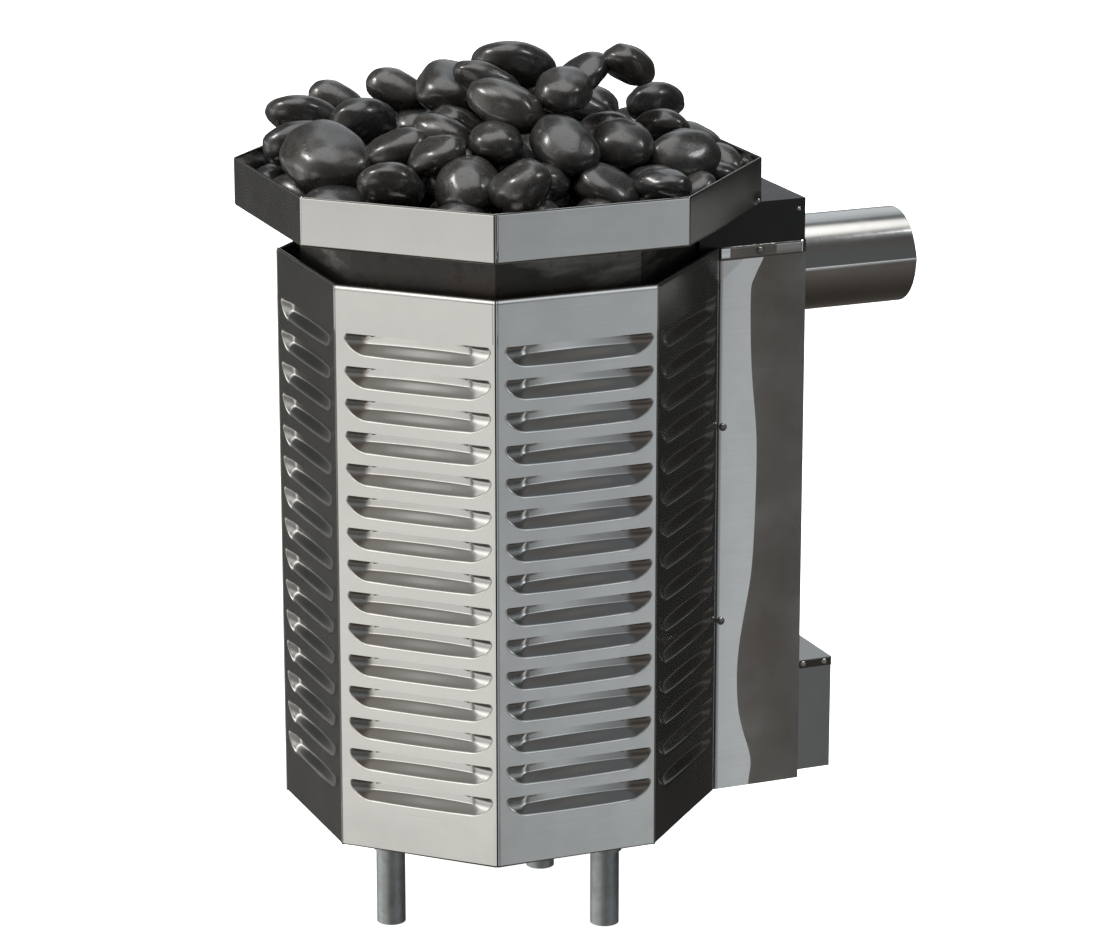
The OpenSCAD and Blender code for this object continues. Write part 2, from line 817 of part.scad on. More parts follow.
module flue_pipe() {
    color(stainless) at_axis() translate([0, box_rear, flue_z]) difference() {
        along_y(flue_d, pipe_end_y - box_rear);
        translate([0, -over, 0]) along_y(flue_d - 2 * flue_wall, pipe_end_y - box_rear + 2 * over);
    }
}

module hood_rivets() {
    color(black_paint) at_axis() for (side = [0, 1]) mirror([side, 0, 0])
        translate([box_half, box_rear - hood_rivet_inset, box_top - hood_rivet_drop])
            side_rivet(box_wall + over);
}

module spill_switch() {
    color("silver") at_axis() translate([spill_d, box_rear - box_wall - spill_tab, body_z + spill_lift]) {
        translate([-spill_d * 0.75, 0, -spill_d / 4]) cube([spill_d * 1.5, spill_tab, spill_d / 2]);
        translate([0, -spill_t, 0]) along_y(spill_d, spill_t);
    }
}

module spill_wires() {
    top_y = box_rear - box_wall - spill_tab - spill_t / 2;
    top_z = body_z + spill_lift - spill_d / 2;
    foot_y = box_rear - box_wall - spill_tab - terminal_l / 2;
    foot_z = valve_z0 + valve_h + terminal_h;
    color("black") at_axis() for (x = [terminal_x - terminal_w / 5, terminal_x + terminal_w / 5])
        lead([[x, top_y, top_z - loose], [x, top_y, top_z - lead_bend],
            [x, (top_y + foot_y) / 2, (top_z + foot_z) / 2], [x, foot_y, foot_z + 2 * lead_bend],
            [x, foot_y, foot_z + lead_stub], [x, foot_y, foot_z + loose]], spill_wire_d);
}

// Stainless side covers of the flue box, with a raised lip along the top and a return at the back
module side_cover(side) {
    color(stainless) at_axis() mirror([side, 0, 0]) difference() {
        union() {
            translate([box_half, body_r + seam, body_z]) cube([sheet, box_d - seam, body_h]);
            translate([box_half, body_r + seam, body_top - lip_h])
                cube([sheet + lip_proud, box_d - seam, lip_h]);
            translate([box_half + sheet - cover_return, box_rear, body_z])
                cube([cover_return, sheet, body_h]);
        }
        for (share = cover_screw_shares)
            translate([box_half - over, body_r + screw_inset, body_z + body_h * share])
                along_x(screw_d + loose, sheet + lip_proud + 2 * over);
        translate([box_half - over, body_r + box_d * lip_screw_share, body_top - lip_h / 2])
            along_x(screw_d + loose, sheet + lip_proud + 2 * over);
    }
}

module side_cover_left() {
    side_cover(1);
}

module side_cover_right() {
    side_cover(0);
}

module cover_screws() {
    length = 2 * sheet + 2 * over;
    color("silver") at_axis() for (side = [0, 1]) mirror([side, 0, 0]) {
        for (share = cover_screw_shares)
            translate([box_half + sheet, body_r + screw_inset, body_z + body_h * share])
                side_screw(screw_d, screw_head_d, screw_head_h, length);
        translate([box_half + sheet + lip_proud, body_r + box_d * lip_screw_share, body_top - lip_h / 2])
            side_screw(screw_d, screw_head_d, screw_head_h, length + lip_proud);
    }
}

// Control box on the back of the flue box
module control_box() {
    h = control_h - sheet;
    color(stainless) at_axis() difference() {
        translate([-control_half, rear_y, control_z]) cube([2 * control_half, control_d, h]);
        translate([-control_half + sheet, rear_y + sheet, control_z + sheet])
            cube([2 * (control_half - sheet), control_d - 2 * sheet, h]);
        translate([-control_half + control_flange, rear_y - over, control_z + control_flange])
            cube([2 * (control_half - control_flange), sheet + 2 * over, h]);
        translate([knob_x, control_y - 2 * sheet, knob_z]) along_y(stem_d + 4 * loose, 3 * sheet);
        translate([reset_x, control_y - 2 * sheet, knob_z]) along_y(reset_d + 4 * loose, 3 * sheet);
        translate([igniter_x, control_y - 2 * sheet, igniter_z]) along_y(igniter_d + loose, 3 * sheet);
        translate([bushing_x, control_y - 2 * sheet, bushing_z]) along_y(bushing_d + loose, 3 * sheet);
        translate([-control_half - over, inlet_y, burner_z])
            along_x(gas_pipe_d + 4 * loose, sheet + 2 * over);
        for (side = [-1, 1]) for (share = control_screw_shares)
            translate([side * control_half - sheet - over, rear_y + control_d * share,
                control_z + control_h - lid_fold / 2]) along_x(control_screw_d + loose, 2 * (sheet + over));
    }
}

module control_lid() {
    color(stainless) at_axis() difference() {
        translate([-control_half - sheet, rear_y, control_z + control_h - lid_fold])
            cube([2 * (control_half + sheet), control_d, lid_fold]);
        translate([-control_half, rear_y - over, control_z + control_h - lid_fold - over])
            cube([2 * control_half, control_d + 2 * over, lid_fold - sheet + over]);
        for (side = [-1, 1]) for (share = control_screw_shares)
            translate([side * control_half - sheet - over, rear_y + control_d * share,
                control_z + control_h - lid_fold / 2]) along_x(control_screw_d + loose, 2 * (sheet + over));
    }
}

module control_screws() {
    color("silver") at_axis() for (side = [0, 1]) mirror([side, 0, 0]) for (share = control_screw_shares)
        translate([control_half + sheet, rear_y + control_d * share, control_z + control_h - lid_fold / 2])
            side_screw(control_screw_d, control_head_d, control_head_h, 2 * sheet + over);
}

// Gas valve with its outlet towards the burner and its inlet on the left
module gas_valve() {
    color("silver") at_axis() difference() {
        union() {
            translate([-valve_w / 2, valve_y0, valve_z0]) cube([valve_w, valve_y1 - valve_y0, valve_h]);
            translate([0, valve_y0 - boss_l, burner_z]) along_y(boss_d, boss_l + over);
            translate([-valve_w / 2 - boss_l, inlet_y, burner_z]) along_x(boss_d * 0.8, boss_l + over);
            translate([knob_x, valve_y1 - over, knob_z]) along_y(stem_boss_d, stem_boss_l + over);
            translate([-cap_d, (valve_y0 + valve_y1) / 2, valve_z0 + valve_h - over])
                cylinder(d = cap_d, h = cap_h + over);
        }
        translate([0, valve_y0 - boss_l - over, burner_z]) along_y(gas_pipe_d * 0.7, boss_l);
        translate([-valve_w / 2 - boss_l - over, inlet_y, burner_z]) along_x(gas_pipe_d * 0.6, boss_l);
        translate([knob_x, valve_y1 - stem_boss_l, knob_z])
            along_y(stem_d + 2 * running, 2 * stem_boss_l + over);
        translate([reset_x, valve_y1 - reset_bore, knob_z]) along_y(reset_d + 2 * running, reset_bore + over);
    }
}

module valve_knob() {
    face = control_y + knob_gap;
    color(black_paint) at_axis() translate([knob_x, 0, knob_z]) {
        translate([0, valve_y1 - stem_boss_l + loose, 0])
            along_y(stem_d, face + over - valve_y1 + stem_boss_l - loose);
        translate([0, face, 0]) along_y(knob_d, knob_l - grip_h);
        translate([0, face + knob_l - grip_h - over, 0]) along_y(knob_d * 0.86, over * 2);
        translate([-grip_w / 2, face + knob_l - grip_h - over, -knob_d * 0.4])
            cube([grip_w, grip_h + over, knob_d * 0.8]);
    }
}

module reset_button() {
    start = valve_y1 - reset_bore + reset_travel + loose;
    color(red) at_axis() translate([reset_x, start, knob_z]) along_y(reset_d, control_y + reset_out - start);
}

module gas_inlet() {
    end_x = -control_half - gas_pipe_out;
    stop_x = -control_half - sheet;
    start_x = -valve_w / 2 - boss_l;
    color(dull_zinc) at_axis() translate([0, inlet_y, burner_z]) difference() {
        union() {
            translate([end_x, 0, 0]) along_x(gas_pipe_d, stop_x - end_x);
            translate([stop_x - over, 0, 0]) along_x(nipple_d, start_x - stop_x + over);
        }
        translate([end_x - over, 0, 0]) along_x(nipple_d - 2 * nipple_wall, start_x - end_x + 2 * over);
    }
}

module igniter_body() {
    inside = control_y - box_wall - igniter_l;
    color("black") at_axis() translate([igniter_x, 0, igniter_z]) difference() {
        union() {
            translate([0, inside, 0]) along_y(igniter_d, control_y - inside + over);
            translate([0, control_y, 0]) along_y(igniter_flange_d, igniter_flange_t);
        }
        translate([0, control_y + igniter_flange_t - igniter_bore_l, 0])
            along_y(igniter_button_d + 2 * running, igniter_bore_l + over);
    }
}

module igniter_nut() {
    color("silver") at_axis() translate([igniter_x, control_y - sheet - igniter_nut_h, igniter_z])
        difference() {
        rotate([-90, 0, 0]) cylinder(d = igniter_flange_d, h = igniter_nut_h, $fn = 6);
        translate([0, -over, 0]) along_y(igniter_d + 2 * running, igniter_nut_h + 2 * over);
    }
}

module igniter_button() {
    start = control_y + igniter_flange_t - igniter_bore_l + igniter_travel + loose;
    end = control_y + igniter_flange_t + igniter_button_out;
    color(red) at_axis() translate([igniter_x, start, igniter_z]) along_y(igniter_button_d, end - start);
}

module terminal_block() {
    z0 = valve_z0 + valve_h;
    y0 = box_rear - box_wall - spill_tab - terminal_l;
    color("ivory") at_axis() difference() {
        translate([terminal_x - terminal_w / 2, y0, z0]) cube([terminal_w, terminal_l, terminal_h]);
        for (x = [terminal_x - terminal_w / 5, terminal_x + terminal_w / 5])
            translate([x, y0 + terminal_screw_d, z0 + terminal_h / 2])
                cylinder(d = terminal_screw_d, h = terminal_h);
    }
}

module cable_bushing() {
    color("black") at_axis() translate([bushing_x, control_y - sheet - bushing_flange_t, bushing_z])
        difference() {
        union() {
            along_y(bushing_d, sheet + 2 * bushing_flange_t);
            along_y(bushing_flange_d, bushing_flange_t);
            translate([0, sheet + bushing_flange_t, 0]) along_y(bushing_flange_d, bushing_flange_t);
        }
        translate([0, -over, 0]) along_y(bushing_bore, sheet + 2 * bushing_flange_t + 2 * over);
    }
}

// Rock tray with a hemmed rim
module rock_tray() {
    inner = tray_flats - 2 * sheet;
    color(tray_steel) at_axis() translate([0, 0, tray_z]) {
        difference() {
            octagon_prism(tray_flats, tray_rim_h);
            translate([0, 0, tray_floor]) octagon_prism(inner, tray_rim_h - tray_floor - tray_hem_h);
            translate([0, 0, tray_rim_h - tray_hem_h - over])
                octagon_prism(tray_flats - 2 * tray_rim_w, tray_hem_h + 2 * over);
            rotate([0, 0, corner_turn]) translate([tray_r - sheet - over, tray_rivet_along, tray_rivet_lift])
                along_x(rivet_shank_d + loose / 2, sheet + 2 * over);
        }
    }
}

// Rivet that closes the tray's rim at its seam, beside the corner over the right side cover
module tray_rivet() {
    color("silver") at_axis() rotate([0, 0, corner_turn])
        translate([tray_r, tray_rivet_along, tray_z + tray_rivet_lift]) side_rivet(sheet);
}

// Stones. Every stone has the same flatness, so in a space stretched upwards by that flatness they are
// balls, and a stone comes to rest at the lowest place beside those that lie already
room_r = tray_r - tray_rim_w - stone_gap;
stone_r = stone_d / 2;
rest_step = stone_r / 8;
rest_turns = 12;

function wall_reach(p) = max([for (k = [0 : 7]) p.x * cos(corner_turn * k) + p.y * sin(corner_turn * k)]);
function inside(p, r) = let (reach = wall_reach(p)) reach + r > room_r ? p * (room_r - r) / reach : p;
function rest_height(p, r, placed) = max(concat([r], [for (s = placed)
    let (d = norm([p.x - s.x, p.y - s.y]), reach = r + s[3] + stone_gap)
        if (d < reach) s.z + sqrt(reach * reach - d * d)]));
function lower_place(p, r, placed) = let (tries = [p, for (k = [0 : 7])
    inside(p + rest_step * [cos(corner_turn * k), sin(corner_turn * k)], r)],
    heights = [for (q = tries) rest_height(q, r, placed)], low = min(heights))
    tries[search(low, heights)[0]];
function settle(p, r, placed, turns) = turns == 0 ? p : let (q = lower_place(p, r, placed))
    q == p ? p : settle(q, r, placed, turns - 1);
function pile(wanted, placed = [], i = 0) = i == len(wanted) ? placed :
    let (r = wanted[i].z * stone_r, start = inside([wanted[i].x, wanted[i].y] * room_r, r),
        p = settle(start, r, placed, len(wanted[i]) > 3 ? wanted[i][3] : rest_turns))
        pile(wanted, concat(placed, [[p.x, p.y, rest_height(p, r, placed), r]]), i + 1);

// One ring of wanted places: its radius as a share, the number of stones, its first angle and a seed
least_size_share = 0.74;
most_size_share = 0.9;
shift_share = 0.02;
function ring(radius_share, count, first, seed) =
    let (size = rands(least_size_share, most_size_share, count, seed),
        shift = rands(-shift_share, shift_share, count, seed + 1))
    [for (k = [0 : count - 1]) let (a = first + 360 * k / count, reach = radius_share + shift[k])
        [reach * cos(a), reach * sin(a), size[k]]];

bottom_shares = concat([[0, 0, 0.85]], ring(0.32, 6, 10, 11), ring(0.62, 12, 25, 21), ring(0.9, 19, 5, 31));
middle_shares = concat([[0, 0, 0.9]], ring(0.36, 7, 15, 51));
// Stones along the rim, on the slope and on the crown of the pile, as shares of the room in the tray
// and of the typical stone, each followed by the steps that it may settle
rim_shares = [[0.1, -0.8, 1.1, 1], [0.54, -0.68, 0.84, 1], [0.61, -0.38, 0.88, 1],
    [0.86, -0.25, 0.88, 1], [0.64, -0.08, 0.75, 1], [0.76, 0.16, 0.8, 1], [0.69, 0.4, 0.62, 1],
    [0.9, 0.4, 0.62, 1], [0.54, 0.6, 0.9, 1], [0.3, 0.88, 0.5, 1], [0.08, 0.9, 0.6, 1],
    [-0.4, -0.72, 0.84, 2], [-0.68, -0.58, 0.65, 2], [-0.8, -0.3, 0.85, 3], [-0.85, 0, 0.85, 3],
    [-0.75, 0.32, 0.9, 3], [-0.55, 0.6, 0.9, 3], [-0.22, 0.78, 0.85, 3], [-0.15, -0.8, 0.8, 2]];
slope_shares = [[0.22, -0.55, 0.72, 1], [0.44, -0.42, 0.7, 1], [0.2, -0.32, 0.75, 1],
    [0.42, -0.2, 0.75, 1], [0.6, 0.04, 0.88, 1], [0.45, 0.38, 0.8, 1], [0.22, 0.68, 0.75, 1],
    [-0.36, -0.42, 0.85, 2], [-0.58, -0.14, 0.85, 2], [-0.55, 0.2, 0.85, 3], [-0.3, 0.5, 0.85, 3],
    [0.2, 0.4, 0.8, 1], [0, 0.15, 0.9, 2], [-0.2, -0.15, 0.85, 2], [-0.5, -0.66, 0.8, 1],
    [-0.7, -0.45, 0.65, 1]];
crown_shares = [[0.32, -0.1, 0.88, 1], [-0.13, 0.16, 0.9, 2], [-0.32, -0.05, 0.95, 2],
    [0.08, -0.08, 0.7, 0], [0.3, 0.165, 0.8, 0], [0.14, 0.32, 0.65, 0], [0.2, 0.64, 0.7, 1],
    [0.15, 0.5, 0.72, 1], [-0.12, 0.76, 0.75, 1], [-0.6, -0.2, 0.75, 1], [-0.12, 0.12, 0.9, 0]];

// Every stone, laid group after group
stone_groups = [bottom_shares, rim_shares, middle_shares, slope_shares, crown_shares];
stones = pile([for (group = stone_groups) each group]);
function group_start(g) = g == 0 ? 0 : group_start(g - 1) + len(stone_groups[g - 1]);

module stone(s) {
    steps = 12;
    profile = concat([[0, -s[3]]], [for (k = [1 - steps : 2 : steps - 1]) s[3] * [cos(90 * k / steps),
        sin(90 * k / steps)]], [[0, s[3]]]);
    translate([s.x, s.y, tray_z + tray_floor + stone_gap + s.z * stone_flat_share])
        rotate_extrude() polygon([for (p = profile) [p.x, p.y * stone_flat_share]]);
}

module stone_group(g) {
    first = group_start(g);
    color(rock) at_axis() for (i = [first : first + len(stone_groups[g]) - 1]) stone(stones[i]);
}

module stones_bottom() {
    stone_group(0);
}

module stones_rim() {
    stone_group(1);
}

module stones_middle() {
    stone_group(2);
}

module stones_slope() {
    stone_group(3);
}

module stones_crown() {
    stone_group(4);
}

leg_front();
leg_rear_left();
leg_rear_right();
leg_sockets();
leg_bolts();
base_pan();
floor_shield();
panel_front();
panel_front_left();
panel_front_right();
panel_left();
panel_right();
panel_rear_left();
panel_rear_right();
corner_angles();
spacer_brackets();
firebox();
firebox_lid();
baffle();
burner();
burner_brackets();
air_shutter();
orifice();
gas_manifold();
pilot_bracket();
pilot_burner();
pilot_tube();
thermocouple();
spark_electrode();
spark_lead();
flue_box();
draft_baffle();
heat_shelf();
flue_collar();
flue_pipe();
hood_rivets();
spill_switch();
spill_wires();
side_cover_left();
side_cover_right();
cover_screws();
control_box();
control_lid();
control_screws();
gas_valve();
valve_knob();
reset_button();
gas_inlet();
igniter_body();
igniter_nut();
igniter_button();
terminal_block();
cable_bushing();
rock_tray();
tray_rivet();
stones_bottom();
stones_middle();
stones_rim();
stones_slope();
stones_crown();
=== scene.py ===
"""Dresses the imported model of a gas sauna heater: louvred steel, stones, flue and controls."""
import json
import math
import random

import bmesh
import bpy
from bpy.props import FloatProperty, FloatVectorProperty, IntProperty, PointerProperty
from mathutils import Matrix, Vector, noise


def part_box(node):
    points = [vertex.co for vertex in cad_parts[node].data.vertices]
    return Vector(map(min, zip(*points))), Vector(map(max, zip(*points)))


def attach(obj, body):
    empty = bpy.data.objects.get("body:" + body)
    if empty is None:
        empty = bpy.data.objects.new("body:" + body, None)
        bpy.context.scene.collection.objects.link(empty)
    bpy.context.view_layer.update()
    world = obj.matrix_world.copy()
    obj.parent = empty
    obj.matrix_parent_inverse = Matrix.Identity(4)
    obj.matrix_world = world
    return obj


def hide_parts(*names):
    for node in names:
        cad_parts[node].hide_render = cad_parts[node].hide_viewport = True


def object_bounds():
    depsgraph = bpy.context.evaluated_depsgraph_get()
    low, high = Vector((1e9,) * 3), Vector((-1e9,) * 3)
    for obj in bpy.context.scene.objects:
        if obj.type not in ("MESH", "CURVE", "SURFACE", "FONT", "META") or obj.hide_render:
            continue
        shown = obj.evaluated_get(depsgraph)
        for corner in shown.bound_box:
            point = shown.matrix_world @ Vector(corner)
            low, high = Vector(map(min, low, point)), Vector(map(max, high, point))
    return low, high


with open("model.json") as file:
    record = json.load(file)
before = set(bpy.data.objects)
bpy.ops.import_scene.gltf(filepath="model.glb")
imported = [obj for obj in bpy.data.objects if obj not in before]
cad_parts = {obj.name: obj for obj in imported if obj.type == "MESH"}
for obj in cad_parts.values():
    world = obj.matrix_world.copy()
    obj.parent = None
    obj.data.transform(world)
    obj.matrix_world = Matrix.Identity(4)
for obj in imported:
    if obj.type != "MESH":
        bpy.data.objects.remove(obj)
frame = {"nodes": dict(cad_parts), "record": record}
CAD_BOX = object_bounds()

bl_info = {
    "name": "Sauna heater",
    "version": (1, 0, 0),
    "blender": (4, 5, 0),
    "location": "View3D > Sidebar > Heater",
    "description": "Louvred sauna heater with a tray of stones, a flue box and a control box",
    "category": "Object",
}

FACE_TURN = math.radians(45)
HALF_TURN = FACE_TURN / 2
LOUVRE_STEPS = 16
HEATER_AXIS = (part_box("rock_tray")[0].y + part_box("rock_tray")[1].y) / 2
SLOTS = {part["node"]: part["material_slot"] for part in frame["record"]["subparts"]}
PANELS = {"panel_front": (0, "fold", "fold"), "panel_front_left": (-1, "fold", "fold"),
          "panel_front_right": (1, "fold", "seam"), "panel_left": (-2, "fold", "fold"),
          "panel_right": (2, "seam", "fold"), "panel_rear_left": (-3, "seam", "fold"),
          "panel_rear_right": (3, "fold", "seam")}


class BodySettings(bpy.types.PropertyGroup):
    """Sizes of the louvred body"""
    flats: FloatProperty(name="Width across flats", description="Distance between two opposite panels",
                         default=0.4064, unit="LENGTH")
    foot: FloatProperty(name="Bottom rim", description="Height of the body's bottom rim",
                        default=0.125, unit="LENGTH")
    top: FloatProperty(name="Top rim", description="Height of the body's top rim",
                       default=0.698, unit="LENGTH")
    sheet: FloatProperty(name="Sheet", description="Thickness of the sheet steel",
                         default=0.0012, unit="LENGTH")
    fold: FloatProperty(name="Fold radius", description="Radius of the folds in the sheet",
                        default=0.0028, unit="LENGTH")
    louvre_count: IntProperty(name="Louvres", description="Louvres in each panel", default=15)
    louvre_width: FloatProperty(name="Louvre width", description="Width of a louvre's cut edge",
                                default=0.1573, unit="LENGTH")
    louvre_slide: FloatProperty(name="Louvre slide",
                                description="How far the louvres stand to the right of a panel's middle",
                                default=0.0025, unit="LENGTH")
    louvre_height: FloatProperty(name="Louvre height", description="Height of a louvre",
                                 default=0.0225, unit="LENGTH")
    louvre_pitch: FloatProperty(name="Louvre pitch", description="Distance from louvre to louvre",
                                default=0.0325, unit="LENGTH")
    louvre_depth: FloatProperty(name="Louvre depth", description="Depth that a louvre is pressed inward",
                                default=0.0078, unit="LENGTH")
    louvre_arch: FloatProperty(name="Louvre arch",
                               description="Share of its depth that a louvre loses at its ends",
                               default=0.55, min=0, max=0.8, subtype="FACTOR")
    louvre_end_slope: FloatProperty(name="End slope", description="Slope of the facet at a louvre's end",
                                    default=0.25, min=0.1, max=0.5, subtype="FACTOR")
    louvre_corner: FloatProperty(name="End corner", description="Radius of a louvre's upper corners",
                                 default=0.006, unit="LENGTH")
    louvre_drop: FloatProperty(name="First louvre",
                               description="Distance of the first cut from the top rim",
                               default=0.047, unit="LENGTH")


class TraySettings(bpy.types.PropertyGroup):
    """Sizes of the rock tray"""
    hem: FloatProperty(name="Hem", description="Height of the folded hem at the tray's rim",
                       default=0.011, unit="LENGTH")
    fold: FloatProperty(name="Fold radius", description="Radius of the fold at the tray's foot",
                        default=0.003, unit="LENGTH")


class StoneSettings(bpy.types.PropertyGroup):
    """Shape of the stones"""
    seed: IntProperty(name="Seed", description="Seed of the stones' shapes", default=7)
    unevenness: FloatProperty(name="Unevenness", description="How far a stone's shape strays from round",
                              default=0.16, min=0, max=0.4, subtype="FACTOR")


class FinishSettings(bpy.types.PropertyGroup):
    """Colours of the finishes"""
    steel: FloatVectorProperty(name="Stainless steel", description="Colour of the brushed sheet",
                               default=(0.66, 0.655, 0.635), subtype="COLOR")
    zinc: FloatVectorProperty(name="Galvanised steel", description="Colour of the legs and gas pipe",
                              default=(0.58, 0.62, 0.64), subtype="COLOR")
    stone: FloatVectorProperty(name="Stone", description="Colour of the polished stones",
                               default=(0.030, 0.030, 0.0305), subtype="COLOR")
    paint: FloatVectorProperty(name="Black paint", description="Colour of the flue box",
                               default=(0.012, 0.012, 0.013), subtype="COLOR")


class HeaterSettings(bpy.types.PropertyGroup):
    """Everything that a user would change"""
    body: PointerProperty(type=BodySettings)
    tray: PointerProperty(type=TraySettings)
    stones: PointerProperty(type=StoneSettings)
    finishes: PointerProperty(type=FinishSettings)


def settings():
    return bpy.context.scene.sauna_heater


# Shader maths
class Socket:
    """A shader socket, with the arithmetic that adds Math nodes"""

    def __init__(self, maker, out):
        self.maker, self.out = maker, out

    def math(self, operation, first, second):
        return self.maker.node("ShaderNodeMath", {"operation": operation}, [first, second])

    def __add__(self, other):
        return self.math("ADD", self, other)

    def __radd__(self, other):
        return self.math("ADD", other, self)

    def __sub__(self, other):
        return self.math("SUBTRACT", self, other)

    def __rsub__(self, other):
        return self.math("SUBTRACT", other, self)

    def __mul__(self, other):
        return self.math("MULTIPLY", self, other)

    def __rmul__(self, other):
        return self.math("MULTIPLY", other, self)

    def __truediv__(self, other):
        return self.math("DIVIDE", self, other)

    def __rtruediv__(self, other):
        return self.math("DIVIDE", other, self)

    def above_zero(self):
        """This value where it is more than zero, and zero elsewhere"""
        return self.math("MAXIMUM", self, 0.0)

    def passes(self, limit):
        """One where this value is more than the limit, and zero elsewhere"""
        return self.math("GREATER_THAN", self, limit)


def rgba(tone):
    """The four numbers of a colour, or of a grey given as one number"""
    return (*tone, 1) if isinstance(tone, tuple) else (tone, tone, tone, 1)


class Finish:
    """The shader nodes of a material or of the world"""

    def __init__(self, name, world=None):
        self.owner = world or bpy.data.materials.new(name)
        self.owner.use_nodes = True
        self.tree = self.owner.node_tree
        self.tree.nodes.clear()
        self.place = self.node("ShaderNodeTexCoord", out="Generated" if world else "Object")

    def node(self, kind, chosen=None, inputs=None, out=0):
        """Adds a node with its settings and inputs, and gives one of its outputs"""
        made = self.tree.nodes.new(kind)
        for key, value in (chosen or {}).items():
            if key == "stops":
                ramp = made.color_ramp
                while len(ramp.elements) < len(value):
                    ramp.elements.new(1)
                for stop, (position, tone) in zip(ramp.elements, value):
                    stop.position, stop.color = position, rgba(tone)
            elif key == "curve":
                made.color_ramp.interpolation = value
            else:
                setattr(made, key, value)
        for key, value in inputs.items() if isinstance(inputs, dict) else enumerate(inputs or []):
            if isinstance(value, Socket):
                self.tree.links.new(value.out, made.inputs[key])
            elif value is not None:
                made.inputs[key].default_value = value
        return Socket(self, made.outputs[out])

    def coordinates(self):
        """The X, Y and Z of the place"""
        split = self.node("ShaderNodeSeparateXYZ", inputs=[self.place])
        return [Socket(self, output) for output in split.out.node.outputs]

    def stretched(self, x, y, z):
        return self.node("ShaderNodeMapping", inputs={0: self.place, "Scale": (x, y, z)})

    def noise(self, scale, detail=3, roughness=0.55, distortion=0, where=None):
        return self.node("ShaderNodeTexNoise", inputs={"Vector": where or self.place, "Scale": scale,
                                                       "Detail": detail, "Roughness": roughness,
                                                       "Distortion": distortion})

    def ramp(self, value, *stops, curve="LINEAR"):
        return self.node("ShaderNodeValToRGB", {"stops": stops, "curve": curve}, [value])

    def mix(self, share, first, second, blend="MIX"):
        first, second = (tone if isinstance(tone, Socket) else rgba(tone) for tone in (first, second))
        return self.node("ShaderNodeMix", {"data_type": "RGBA", "blend_type": blend},
                         {0: share, 6: first, 7: second}, 2)

    def bump(self, height, strength, distance, normal=None):
        return self.node("ShaderNodeBump", inputs={"Height": height, "Strength": strength,
                                                   "Distance": distance, "Normal": normal})

    def end(self, surface, kind="ShaderNodeOutputMaterial"):
        """Links a surface to the output, and gives the material or world"""
        last = self.tree.nodes.new(kind)
        self.tree.links.new(surface.out, last.inputs[0])
        return self.owner

    def shade(self, **inputs):
        """Ends the material in one surface shader"""
        named = {key.replace("_", " ").title().replace("Ior", "IOR"): value
                 for key, value in inputs.items()}
        return self.end(self.node("ShaderNodeBsdfPrincipled", inputs=named))


def tint(colour, share):
    return tuple(part * share for part in colour)


def brushed_sheet(name, colour, roughness, sway, groove=0.1, warp=None, grain=(5, 5, 1500)):
    """Brushed stainless sheet: very fine lines along the sheet, faint smears and a slight waviness"""
    f = Finish(name)
    lines = f.noise(1, 3, 0.6, where=f.stretched(*grain))
    smear = f.noise(9, 5, 0.6, 0.5)
    cloud = f.noise(5.5, 2, 0.45)
    print_marks = f.noise(34, 4, 0.6, 1.2)
    tone = f.ramp(smear, (0.3, tint(colour, 0.93)), (0.7, tint(colour, 1.03)))
    streak = f.mix(f.ramp(lines, (0.4, 0.0), (0.8, 0.10)), tone, tint(colour, 0.8))
    rough = (lines - 0.5) * 0.06 + (smear - 0.5) * 0.10 + (print_marks - 0.5) * 0.06 + roughness
    wave = f.bump(cloud, 1.0, sway, f.bump(warp(f), 1.0, 1.0) if warp else None)
    ridge = f.bump(lines, groove, 0.00004, wave)
    return f.shade(base_color=streak, metallic=1.0, roughness=rough, normal=ridge)


def cover_warp(f):
    """Height of the side cover's sheet, which turns inward behind a wavy line and bends at a corner"""
    y, up = f.coordinates()[1:]
    low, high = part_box("side_cover_right")
    along = y - low.y
    on_lip = up.passes(high.z - 0.0125)
    line = f.ramp(up, (0.13, 0.038), (0.152, 0.044), (0.18, 0.033), (0.21, 0.0255), (0.255, 0.0235),
                  (0.30, 0.029), (0.35, 0.040), (0.405, 0.042), (0.495, 0.045), (0.555, 0.037),
                  (0.613, 0.0345), (0.65, 0.0345), (0.664, 0.036), (0.688, 0.053), curve="B_SPLINE")
    behind = (along - f.mix(on_lip, line, 0.011)).above_zero()
    lip_end = (along - 0.062).above_zero() * on_lip
    corner = (f.ramp(up, (0.661, 0.0), (0.685, 0.0275)) - along).above_zero() * (1 - on_lip)
    return behind * -0.058 + lip_end * 0.03 + corner * -0.1


def lid_warp(f):
    """Height of the control lid's sheet, whose side flange leans inward at its foot"""
    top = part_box("control_lid")[1].z - 0.0012
    return (top - f.coordinates()[2]).above_zero() * -0.25


def black_coat(name, colour):
    """Heat-proof paint with a fine orange peel and dusty, worn patches"""
    f = Finish(name)
    peel = f.noise(420, 2)
    dust = f.noise(16, 5, 0.62)
    tone = f.ramp(dust, (0.42, colour), (0.78, tuple(part + 0.018 for part in colour)))
    return f.shade(base_color=tone, metallic=0.0, roughness=dust * 0.25 + 0.32,
                   normal=f.bump(peel, 0.25, 0.00012))


